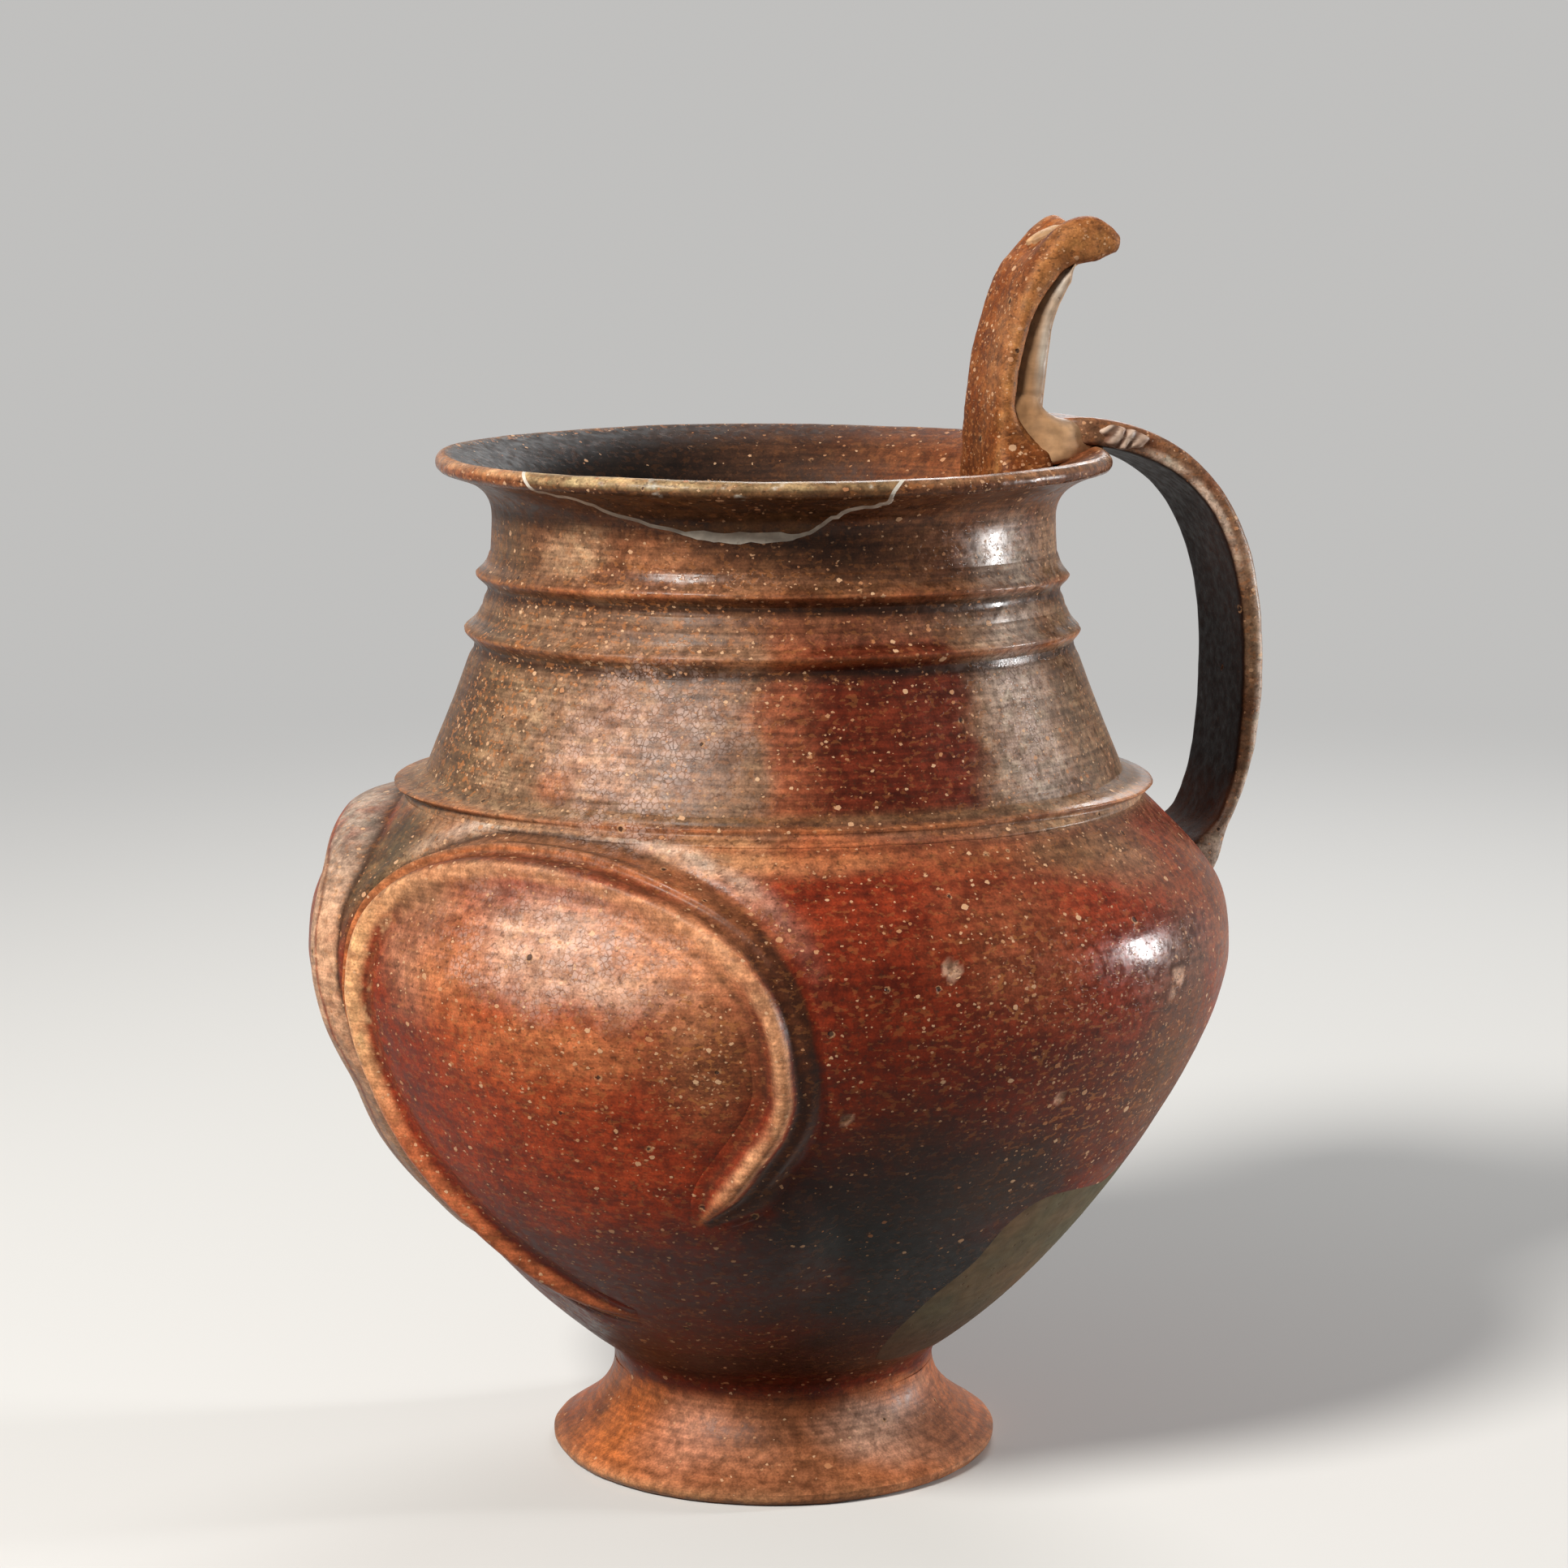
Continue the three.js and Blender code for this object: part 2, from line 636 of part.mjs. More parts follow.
function strapWidth(share) {
  const { lerp } = THREE.MathUtils;
  const upper = lerp(STRAP_ROOT_WIDTH, STRAP_WIDTH, smooth(0, 0.25, share));
  return lerp(upper, STRAP_LANDING_WIDTH, smooth(0.86, 1, share));
}

function strapCorners(share) {
  const w = strapWidth(share) / 2;
  const t = strapThickness(share) / 2;
  const c = EDGE_ROUND;
  return [
    [-w, c - t], [c - w, -t], [w - c, -t], [w, c - t],
    [w, t - c], [w - 1.5 * c, t], [w - 4 * c, t - STRAP_BORDER],
    [4 * c - w, t - STRAP_BORDER], [1.5 * c - w, t], [-w, t - c],
  ];
}

function strap() {
  const rings = [];
  for (let i = 0; i <= STRAP_STEPS; i += 1) {
    const share = i / STRAP_STEPS;
    const curve = strapCurves[share < 0.5 ? 0 : 1];
    const t = share < 0.5 ? share * 2 : share * 2 - 1;
    rings.push(ringAcross(curve.getPoint(t), curve.getTangent(t), strapCorners(share)));
  }
  return loft(rings);
}

// Horn: its line runs from the tip back over the bend and down inside the mouth
const hornFoot = point(THROAT_BORE - HORN_STAND_IN / 2, MOUTH_HEIGHT);
const hornTip = point(hornFoot.x + HORN_REACH, MOUTH_HEIGHT + HORN_RISE);
const hornCurve = bezier(
  hornTip,
  point(hornTip.x - HORN_TIP_PULL, hornTip.y + HORN_TIP_ARCH),
  point(hornFoot.x, hornFoot.y + HORN_STEM_PULL),
  hornFoot,
);

function hornStation(share) {
  if (share <= 1) {
    return { spot: hornCurve.getPoint(share), direction: hornCurve.getTangent(share) };
  }
  const drop = (share - 1) * HORN_ROOT_DEPTH;
  return { spot: point(hornFoot.x, hornFoot.y - drop), direction: point(0, -1) };
}

// Half thickness in front of the line and behind it, and the width, along the horn
function hornSection(share) {
  const { lerp } = THREE.MathUtils;
  const tip = HORN_TIP_THICKNESS * lerp(HORN_TIP_ROUNDING, 1, smooth(0, 0.1, share));
  const bend = lerp(tip, HORN_BEND_THICKNESS, smooth(0.12, 0.35, share));
  const stem = lerp(bend, HORN_THICKNESS, smooth(0.35, 0.6, share));
  const root = smooth(0.9, 1.25, share);
  return {
    front: lerp(stem / 2, -HORN_ROOT_TAPER, smooth(1.2, 2, share)),
    back: stem / 2 + root * (HORN_STAND_IN / 2 + HORN_BEDDING),
    width: lerp(HORN_WIDTH, HORN_ROOT_WIDTH, smooth(0.85, 1.3, share)),
    saddle: HORN_SADDLE * (1 - smooth(0.1, 0.45, share)),
  };
}

function horn(grow) {
  const rings = [];
  for (let i = 0; i <= HORN_STEPS; i += 1) {
    const share = (2 * i) / HORN_STEPS;
    const { spot, direction } = hornStation(share);
    const { front, back, width, saddle } = hornSection(share);
    const w = width / 2 + grow;
    const f = -front - grow;
    const b = back + grow;
    const c = HORN_ROUND;
    rings.push(ringAcross(spot, direction, [
      [-w, f + c], [c - w, f], [-w / 2, f], [0, f + saddle], [w / 2, f], [w - c, f],
      [w, f + c], [w, b - c], [w - c, b], [c - w, b], [-w, b - c],
    ]));
  }
  return loft(rings);
}

// Fill in the fork: a tongue up the back of the horn and a foot that reaches the strap
function fillTongue() {
  const rings = [];
  for (let i = 0; i <= FILL_STEPS; i += 1) {
    const share = THREE.MathUtils.lerp(FILL_TIP_SHARE, 1, i / FILL_STEPS);
    const { spot, direction } = hornStation(share);
    const { back } = hornSection(share);
    const w = FILL_WIDTH / 2;
    const near = back - FILL_BEDDING;
    const fullness = smooth(0.15, 0.95, share);
    const far = back + THREE.MathUtils.lerp(FILL_TIP_THICKNESS, FILL_THICKNESS, fullness);
    const c = EDGE_ROUND;
    rings.push(ringAcross(spot, direction, [
      [-w, near], [w, near], [w, far - c], [w - c, far], [c - w, far], [-w, far - c],
    ]));
  }
  return loft(rings);
}

function fillFoot() {
  const rings = [];
  const start = hornFoot.x;
  const end = strapRoot.x - 2 * SEAT_GAP;
  for (let i = 0; i <= FILL_STEPS; i += 1) {
    const share = i / FILL_STEPS;
    const x = THREE.MathUtils.lerp(start, end, share);
    const bottom = MOUTH_HEIGHT - THREE.MathUtils.lerp(FILL_FOOT_DROP, LIP_EDGE / 2, share);
    const top = MOUTH_HEIGHT + FILL_FOOT_TOP + FILL_CORNER * (1 - smooth(0.3, 0.75, share));
    const w = THREE.MathUtils.lerp(FILL_WIDTH, STRAP_ROOT_WIDTH, smooth(0.5, 1, share)) / 2;
    const c = EDGE_ROUND;
    const corners = [
      [-w, bottom], [w, bottom], [w, top - c], [w - c, top], [c - w, top], [-w, top - c],
    ];
    rings.push(corners.map(([y, z]) => new THREE.Vector3(x, y, z)));
  }
  return loft(rings);
}

function forkFill() {
  return fillTongue().add(fillFoot()).subtract(horn(SEAT_GAP)).subtract(rimCut);
}

// Small fills: a patch in the saddle on the horn and a lump beside the strap's root
function hornTipFill() {
  const { spot, direction } = hornStation(TIP_FILL.share);
  const { front, saddle } = hornSection(TIP_FILL.share);
  const geometry = new THREE.SphereGeometry(1, 14, 8);
  geometry.scale(TIP_FILL.length / 2, TIP_FILL.width / 2, TIP_FILL.thickness);
  geometry.rotateY(-Math.atan2(direction.y, direction.x));
  const normal = point(direction.y, -direction.x);
  const seat = spot.clone().addScaledVector(normal, front - saddle);
  geometry.translate(seat.x, TIP_FILL.aside, seat.y);
  return body(geometry).subtract(horn(SEAT_GAP));
}

function strapMend() {
  const geometry = new THREE.BoxGeometry(MEND.length, MEND.thickness, MEND.height, 3, 1, 2);
  const position = geometry.attributes.position;
  for (let i = 0; i < position.count; i += 1) {
    const slim = position.getY(i) < 0 ? MEND.slimming : 1;
    position.setX(i, position.getX(i) * slim);
    position.setZ(i, position.getZ(i) * slim);
  }
  const side = -strapWidth(MEND.share) / 2 - MEND.thickness / 2;
  const spot = strapCurves[0].getPoint(MEND.share * 2);
  geometry.translate(spot.x, side, spot.y);
  return body(geometry).subtract(rimCut).subtract(swollen(strap(), SEAT_GAP));
}

// Sherd glued back into the rim, with a plaster seam round it
const sherdBottom = THROAT_HEIGHT + SHERD_STAND;
const crack = CRACK_LINE.map(
  ([across, depth]) => point(across * SHERD_REACH, MOUTH_HEIGHT - depth * FLARE_RISE),
);
const crackOutline = [
  ...crack,
  point(crack.at(-1).x, MOUTH_HEIGHT + CRACK_CLEARANCE),
  point(crack[0].x, MOUTH_HEIGHT + CRACK_CLEARANCE),
];

function sherdOutline(distance) {
  const outline = grown(crackOutline, distance);
  outline.forEach((corner) => {
    corner.y = Math.max(corner.y, sherdBottom - distance - SEAM_WIDTH);
  });
  return outline;
}

const crackPrism = wallPrism(crackOutline, SHERD_ANGLE);
const seamPrism = wallPrism(grown(crackOutline, -SEAT_GAP), SHERD_ANGLE);
const seamHole = wallPrism(sherdOutline(-SEAT_GAP - SEAM_WIDTH), SHERD_ANGLE);
const sherdPrism = wallPrism(sherdOutline(-2 * SEAT_GAP - SEAM_WIDTH), SHERD_ANGLE);

// Plaster fill in the lower belly
const patchOutline = PATCH_LINE.map(([x, y]) => point(x, BASE_TOP + y));
const patchHole = wallPrism(patchOutline, PATCH_ANGLE);
const patchPrism = wallPrism(grown(patchOutline, -SEAT_GAP), PATCH_ANGLE);

// Finishes and the assembly
const redClay = { color: 0x7a3420, roughness: 0.38, metalness: 0 };
const brownClay = { color: 0x6b4a33, roughness: 0.45, metalness: 0 };
const orangeClay = { color: 0x9a5230, roughness: 0.5, metalness: 0 };
const paleFill = { color: 0xb09a78, roughness: 0.7, metalness: 0 };
const greyFill = { color: 0x5c5646, roughness: 0.8, metalness: 0 };
const whiteFill = { color: 0xd8d2c4, roughness: 0.85, metalness: 0 };

const jug = new THREE.Group();

function addPiece(name, solid, finish) {
  const mesh = new THREE.Mesh(geometryOf(solid), new THREE.MeshStandardMaterial(finish));
  mesh.name = name;
  jug.add(mesh);
}

addPiece('foot_ring', footRing(), orangeClay);
addPiece('base_disc', baseDisc(), redClay);
addPiece('belly_lower', lower.subtract(patchHole), redClay);
addPiece('belly_fill', lower.intersect(patchPrism), greyFill);
addPiece('belly_upper', upper, redClay);
addPiece('boss_rib_left', bossRib(bosses[1]), brownClay);
addPiece('boss_rib_right', bossRib(bosses[0]), brownClay);
addPiece('shoulder_cordon', shoulderCordon(), brownClay);
addPiece('neck_wall', neckWall(0), brownClay);
addPiece('neck_cordon_lower', neckCordon(LOWER_CORDON), brownClay);
addPiece('neck_cordon_upper', neckCordon(UPPER_CORDON), brownClay);
addPiece('rim_lip', rim.subtract(crackPrism), brownClay);
addPiece('rim_sherd', rim.intersect(sherdPrism), brownClay);
addPiece('sherd_seam', rim.intersect(seamPrism).subtract(seamHole), whiteFill);
addPiece('handle_strap', strap().subtract(rimCut).subtract(upperCut), brownClay);
addPiece('handle_horn', horn(0).subtract(rimCut).subtract(neckCut), brownClay);
addPiece('fork_fill', forkFill(), paleFill);
addPiece('horn_tip_fill', hornTipFill(), paleFill);
addPiece('strap_mend', strapMend(), whiteFill);

const outer = new THREE.Box3().setFromObject(jug);
jug.position.x = -(outer.min.x + outer.max.x) / 2;

const group = new THREE.Group();
group.add(jug);

export default group;
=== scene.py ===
"""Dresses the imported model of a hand-built pottery jug with its fine shapes and its clay.

The frame gives the vessel's place. The outline of the wall, the bosses, the handle and the
repairs repeat the sizes of the part's source, in millimetres, and every piece is built from
them as one continuous skin, with the relief, wobble and wear that the solids leave out.
"""

import bpy
import numpy as np
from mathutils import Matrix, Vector


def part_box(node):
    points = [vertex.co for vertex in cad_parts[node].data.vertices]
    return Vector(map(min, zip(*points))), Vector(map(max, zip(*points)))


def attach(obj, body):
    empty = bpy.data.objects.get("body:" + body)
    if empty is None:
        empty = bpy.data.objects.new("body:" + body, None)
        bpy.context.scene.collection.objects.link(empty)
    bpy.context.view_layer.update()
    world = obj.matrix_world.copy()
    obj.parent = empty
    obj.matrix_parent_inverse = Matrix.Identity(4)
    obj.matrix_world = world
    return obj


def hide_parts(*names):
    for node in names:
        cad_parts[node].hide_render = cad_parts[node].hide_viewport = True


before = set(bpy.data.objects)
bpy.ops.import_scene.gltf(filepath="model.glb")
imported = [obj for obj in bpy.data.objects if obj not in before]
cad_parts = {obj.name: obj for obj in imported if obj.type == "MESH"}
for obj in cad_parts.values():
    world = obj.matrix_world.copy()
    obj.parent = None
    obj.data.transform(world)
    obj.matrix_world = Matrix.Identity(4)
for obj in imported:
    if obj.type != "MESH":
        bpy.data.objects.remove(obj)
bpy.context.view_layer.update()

MM = 0.001
foot_low, foot_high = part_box("foot_ring")
AXIS = np.array([(foot_low.x + foot_high.x) / 2, (foot_low.y + foot_high.y) / 2, 0.0])
BODY = "root"

# Sizes of the vessel
FOOT_RADIUS = 54.0
FOOT_EDGE_HEIGHT = 3.0
FOOT_REST = (46.5, 51.5)
FOOT_HOLLOW_RADIUS = 33.3
FOOT_HOLLOW_PULL = 41.0
FOOT_SWEEP = 9.0
WAIST_RADIUS = 38.8
WAIST_HEIGHT = 21.0
BASE_RADIUS = 42.0
BASE_TOP = 27.5
BELLY_WALL = 6.5
BELLY_RADIUS = 109.0
BELLY_HEIGHT = 125.0
BELLY_JOINT = 112.0
SHOULDER_RADIUS = 86.0
SHOULDER_HEIGHT = 163.0
NECK_WALL = 6.0
NECK_FOOT_RADIUS = 84.6
THROAT_RADIUS = 67.0
THROAT_HEIGHT = 227.0
NECK_JOINT = 219.0
MOUTH_RADIUS = 80.0
MOUTH_HEIGHT = 242.0
LIP_EDGE = 3.8
LIP_BEVEL = 0.7
FLARE_DROOP = 1.8
FLARE_PULL = 7.0
MOUTH_DISH = 2.5
RIM_LEAN = np.radians(1.9)
RIM_LEAN_TOWARD = np.radians(253)
SLOPE_REACH = 3.0

# Cordons: height of the crest, how far it stands out, its reach below and above
LOWER_CORDON = dict(height=199.8, out=2.7, below=5.6, above=6.4)
UPPER_CORDON = dict(height=213.2, out=2.6, below=5.2, above=6.0)
SHOULDER_CORDON_OUT = 4.4

# Bosses: direction of the middle, side that the arch opens to, and whether a ridge runs
# outside the rib. The rib's line: degrees from the middle, and rise as a share
NEAR_BOSS = (225.5, 1, 1.0)
FAR_BOSS = (152.5, -1, 0.0)
BOSSES = (NEAR_BOSS, FAR_BOSS)
BOSS_HEIGHT = 112.0
RIB_REACH = 65.0
RIB_LINE = np.array([
    (17.6, -0.515), (20.5, -0.431), (24.5, -0.285), (28, -0.123), (28.8, 0.031), (26.6, 0.303), (19.7, 0.505),
    (6.7, 0.634), (-8.4, 0.662), (-20, 0.6), (-28.3, 0.443), (-30.7, 0.187),
    (-31, -0.11), (-28.2, -0.318), (-20.8, -0.616), (-15.2, -0.81), (-6, -0.95), (4.3, -1),
]) * (1, RIB_REACH)
OPEN_SIDE_SOFTNESS = 3.5
SIDE_SWELL = 1.2
LOWER_SWELL = (5.2, -36, 24)
UPPER_SWELL = (4.8, 43, 9)
CROWN_SWELL = (2.5, 0, 34)

# Handle, horn and repairs
STRAP_REACH = 118.7
STRAP_REACH_HEIGHT = 190.0
LANDING_HEIGHT = 141.0
HORN_FOOT = np.array([54.0, 242.0])
HORN_TIP = np.array([81.5, 290.5])
HORN_ROOT_DEPTH = 27.0
SHERD_ANGLE = 243
SHERD_BOTTOM = 227.8
SEAM_WIDTH = 0.8
CRACK_LINE = np.array([
    (-46, 243), (-43, 236.5), (-32.6, 233.7), (-23.2, 230.4), (-11.4, 227.7), (-3.5, 225.9),
    (2.7, 225.1), (13.6, 225.6), (18.4, 226.5), (21.7, 228.1), (27.2, 231.6), (34.6, 233.3),
    (38.6, 235.2), (43, 243),
])
PATCH_ANGLE = 308
PATCH_LINE = np.array([
    (12, 74), (-13, 76.5), (-22, 71.5), (-23.5, 61), (-27, 52), (-26, 41), (-20, 32),
    (-8, 30.5), (10, 32.5), (22, 41), (33, 54), (41, 70), (27, 76.5),
])

# Camera, from the photograph
CAMERA_PLACE = Vector((-0.2489, -0.8097, 0.2876))
CAMERA_BEARING = np.radians(17)
CAMERA_PITCH = np.radians(8.45)
CAMERA_LENS = 81.71
SENSOR = 36.0

# Fineness of the meshes: degrees between columns and millimetres between rows
TURN_STEP = 0.5
ROW_STEP = 0.95
SECTION_CORNERS = 72


# Small tools
def smooth(start, end, value):
    share = np.clip((np.asarray(value, float) - start) / (end - start), 0, 1)
    return share * share * (3 - 2 * share)


def within(value, start, full, fading, gone):
    """One from full to fading, and nothing before start and after gone."""
    return smooth(start, full, value) * (1 - smooth(fading, gone, value))


def lerp(start, end, share):
    return start + (end - start) * share


def bell(value, amount, middle, spread):
    return amount * np.exp(-(((value - middle) / spread) ** 2))


def bezier(start, start_pull, end_pull, end, count):
    t = np.linspace(0, 1, count)[:, None]
    corners = [np.asarray(corner, float) for corner in (start, start_pull, end_pull, end)]
    weights = ((1 - t) ** 3, 3 * (1 - t) ** 2 * t, 3 * (1 - t) * t**2, t**3)
    return sum(weight * corner for weight, corner in zip(weights, corners))


def spline(points, per_span):
    """Catmull-Rom curve through the points."""
    padded = np.vstack([points[0], points, points[-1]])
    t = np.linspace(0, 1, per_span, endpoint=False)[:, None]
    spans = []
    for before, start, end, after in zip(padded, padded[1:], padded[2:], padded[3:]):
        lead = (end - before) / 2
        trail = (after - start) / 2
        cubic = 2 * start - 2 * end + lead + trail
        square = -3 * start + 3 * end - 2 * lead - trail
        spans.append(cubic * t**3 + square * t**2 + lead * t + start)
    return np.vstack([*spans, points[-1:]])


def evenly(points, step):
    """Points along a line, a step apart."""
    lengths = np.linalg.norm(np.diff(points, axis=0), axis=1)
    along = np.concatenate([[0], np.cumsum(lengths)])
    spots = np.linspace(0, along[-1], max(2, int(round(along[-1] / step)) + 1))
    return np.column_stack([np.interp(spots, along, column) for column in points.T])


LATTICE = np.random.default_rng(11).random((32, 32, 32))


def noise(points, scale, stretch=(1, 1, 1)):
    """Smooth value noise from 0 to 1, with features of the given size."""
    spots = points / (scale * np.asarray(stretch, float))
    cells = np.floor(spots).astype(int)
    share = spots - cells
    share = share * share * (3 - 2 * share)
    total = 0
    for corner in np.ndindex(2, 2, 2):
        weight = np.prod(np.where(corner, share, 1 - share), axis=1)
        place = (cells + corner) % 32
        total = total + weight * LATTICE[place[:, 0], place[:, 1], place[:, 2]]
    return total


def clouds(points, scale, stretch=(1, 1, 1)):
    """Noise in three sizes, centred on zero and reaching about half either way."""
    shifted = points + 7.3
    large = noise(points, scale, stretch)
    middle = noise(shifted, scale * 0.47, stretch)
    small = noise(points - 3.1, scale * 0.21, stretch)
    return (0.55 * large + 0.3 * middle + 0.15 * small - 0.5) * 1.6


# Outline of the wall: radius against height, and the way up along it
FINE = 300
body_line = np.vstack([
    bezier((FOOT_RADIUS, 3), (49, 6.5), (WAIST_RADIUS, 12), (WAIST_RADIUS, WAIST_HEIGHT), FINE),
    bezier((WAIST_RADIUS, WAIST_HEIGHT), (WAIST_RADIUS, 23.5), (40, 25.9), (BASE_RADIUS, BASE_TOP), FINE),
    bezier((BASE_RADIUS, BASE_TOP), (77, 51.5), (BELLY_RADIUS, 106), (BELLY_RADIUS, BELLY_HEIGHT), FINE),
    bezier(
        (BELLY_RADIUS, BELLY_HEIGHT), (BELLY_RADIUS, 141.7), (106, 143),
        (SHOULDER_RADIUS, SHOULDER_HEIGHT), FINE,
    ),
])
neck_line = bezier(
    (NECK_FOOT_RADIUS, SHOULDER_HEIGHT), (79.6, 178), (THROAT_RADIUS, 199),
    (THROAT_RADIUS, THROAT_HEIGHT), FINE,
)
body_climb = np.concatenate([[0], np.cumsum(np.linalg.norm(np.diff(body_line, axis=0), axis=1))])


def wall_radius(height):
    below = np.interp(height, body_line[:, 1], body_line[:, 0])
    above = np.interp(height, neck_line[:, 1], neck_line[:, 0])
    return np.where(np.asarray(height) < SHOULDER_HEIGHT, below, above)


def wall_climb(height):
    return np.interp(height, body_line[:, 1], body_climb)


def height_at_climb(climb):
    return np.interp(climb, body_climb, body_line[:, 1])


def wall_slope(height):
    rise = wall_radius(height + SLOPE_REACH) - wall_radius(height - SLOPE_REACH)
    return rise / (2 * SLOPE_REACH)


def out_from_axis(angle, radius, height):
    turn = np.radians(angle)
    radius, height = np.broadcast_arrays(radius, height)
    return np.stack([radius * np.cos(turn), radius * np.sin(turn), height + 0 * turn], axis=-1)


def outward_at(angle):
    return out_from_axis(angle, np.ones(len(angle)), np.zeros(len(angle)))


def angle_of(points):
    return np.degrees(np.arctan2(points[..., 1], points[..., 0])) % 360


def turned_by(angle, middle):
    """Signed degrees from a middle direction."""
    return (angle - middle + 180) % 360 - 180


# Bosses: the arch laid flat on the wall, millimetres across and along it
arch_corners = spline(RIB_LINE, 12)
arch_heights = BOSS_HEIGHT + arch_corners[:, 1]
arch_line = np.column_stack([
    np.radians(arch_corners[:, 0]) * wall_radius(arch_heights),
    wall_climb(arch_heights) - wall_climb(BOSS_HEIGHT),
])
arch_steps = np.linalg.norm(np.diff(arch_line, axis=0), axis=1)
arch_along = np.concatenate([[0], np.cumsum(arch_steps)])
ARCH_LENGTH = arch_along[-1]
ARCH_CHUNK = 4000


def laid_flat(boss, angle, height):
    middle, side, _ = boss
    turn = side * turned_by(angle, middle)
    across = np.radians(turn) * wall_radius(height)
    return np.column_stack([across, wall_climb(height) - wall_climb(BOSS_HEIGHT)])


def measured_from_arch(spots):
    """Distance inward from the rib's line, share of the way along it, and depth in the arch."""
    start = arch_line[:-1]
    step = arch_line[1:] - start
    size = (step**2).sum(1)
    ring = np.vstack([arch_line, arch_line[:1]])
    opening = arch_line[0] - arch_line[-1]
    results = []
    for first in range(0, len(spots), ARCH_CHUNK):
        part = spots[first:first + ARCH_CHUNK, None]
        offset = part - start
        share = np.clip((offset * step).sum(2) / size, 0, 1)
        distance = np.linalg.norm(offset - share[..., None] * step, axis=2)
        nearest = distance.argmin(1)
        rows = np.arange(len(part))
        gap = distance[rows, nearest]
        along = (arch_along[nearest] + share[rows, nearest] * arch_steps[nearest]) / ARCH_LENGTH
        low, high = ring[:-1], ring[1:]
        crosses = (low[:, 1] > part[..., 1]) != (high[:, 1] > part[..., 1])
        rise = np.where(high[:, 1] == low[:, 1], 1, high[:, 1] - low[:, 1])
        reach = (high[:, 0] - low[:, 0]) * (part[..., 1] - low[:, 1]) / rise + low[:, 0]
        inside = (crosses & (part[..., 0] < reach)).sum(1) % 2 == 1
        to_open = part[:, 0] - arch_line[-1]
        open_share = np.clip((to_open * opening).sum(1) / (opening**2).sum(), 0, 1)
        open_gap = np.linalg.norm(to_open - open_share[:, None] * opening, axis=1)
        sign = np.where(inside, 1, -1)
        depth = sign * np.minimum(gap, open_gap / OPEN_SIDE_SOFTNESS)
        results.append(np.column_stack([sign * gap, along, depth]))
    return np.vstack(results)


# The same distances on a fine flat chart, so that every skin point can be looked up in it
CHART_STEP = 0.6
CHART_LOW = np.array([-84.0, -92.0])
CHART_SIZE = (280, 260)
chart_axes = [low + CHART_STEP * np.arange(size) for low, size in zip(CHART_LOW, CHART_SIZE)]
chart_spots = np.stack(np.meshgrid(*chart_axes, indexing="ij"), axis=-1).reshape(-1, 2)
arch_chart = measured_from_arch(chart_spots).reshape(*CHART_SIZE, 3)


def arch_place(spots):
    limits = np.array(CHART_SIZE) - 1.001
    place = np.clip((spots - CHART_LOW) / CHART_STEP, 0, limits)
    cell = place.astype(int)
    share = place - cell
    total = 0
    for step in np.ndindex(2, 2):
        weight = np.prod(np.where(step, share, 1 - share), axis=1)
        corner = cell + step
        total = total + weight[:, None] * arch_chart[corner[:, 0], corner[:, 1]]
    return total.T


# Where a boss can show: degrees from its middle, and heights
BOSS_REACH = 42
BOSS_LOW = 36
BOSS_HIGH = 162
FAR = -99.0


def boss_places(angle, height):
    """For each boss: across, along and depth of every spot, far outside where it isn't near."""
    places = []
    for boss in BOSSES:
        across = np.full(len(angle), FAR)
        along = np.full(len(angle), 0.5)
        depth = np.full(len(angle), FAR)
        near = (abs(turned_by(angle, boss[0])) < BOSS_REACH) & (height > BOSS_LOW) & (height < BOSS_HIGH)
        if near.any():
            spots = laid_flat(boss, angle[near], height[near])
            across[near], along[near], depth[near] = arch_place(spots)
        places.append((across, along, depth))
    return places


def boss_swell(boss, angle, height):
    rise = height - BOSS_HEIGHT
    spot = laid_flat(boss, angle, height)
    crown = bell(np.linalg.norm(spot, axis=1), *CROWN_SWELL)
    return SIDE_SWELL + bell(rise, *LOWER_SWELL) + bell(rise, *UPPER_SWELL) + crown


# Rib: the share of its length that thins out at each end, how high and how narrow it is, and
# where along it the hooked limb turns into the long one
RIB_HOOK_TAPER = 0.05
RIB_TAIL_TAPER = 0.09
RIB_CREST = 2.9
NARROW_END = 0.3
LONG_LIMB = (0.22, 0.4)


def rib_fullness(along):
    return smooth(0, RIB_HOOK_TAPER, along) * smooth(0, RIB_TAIL_TAPER, 1 - along)


def rib_relief(across, along, lined):
    """Height of the rib over the swelling wall: crest, inner dip, and outer ridge where lined."""
    full = rib_fullness(along)
    across = across / lerp(NARROW_END, 1, full)
    left = smooth(*LONG_LIMB, along)
    inner_half = lerp(2.5, 3.0, left)
    outer_half = lerp(2.3, lerp(2.7, lerp(6.4, 2.7, lined), left), left)
    crest = RIB_CREST * np.exp(-np.abs(across / np.where(across > 0, inner_half, outer_half)) ** 2.6)
    ridge = bell(across, 1, -5.6, 0.85) * lerp(0.1, 1.5, left) * lined
    groove = bell(across, -0.9, -8.8, 1.3) * lerp(0.4, 1, left) * lined
    shoulder = bell(across, 0.5, -12.5, 2.4) * left * lined
    dip = bell(across, -0.4, 5.6, 1.8)
    return full * (crest + ridge + groove + shoulder + dip)


# The far boss eases off lower down, on its side toward the near one, and the grooves beside
# the ribs run out under the shoulder cordon
FAR_EASE = 0.45
FAR_EASE_HEIGHTS = (114, 94)
FAR_EASE_ANGLES = (156, 172)
GROOVE_END_HEIGHTS = (154.5, 158.5)


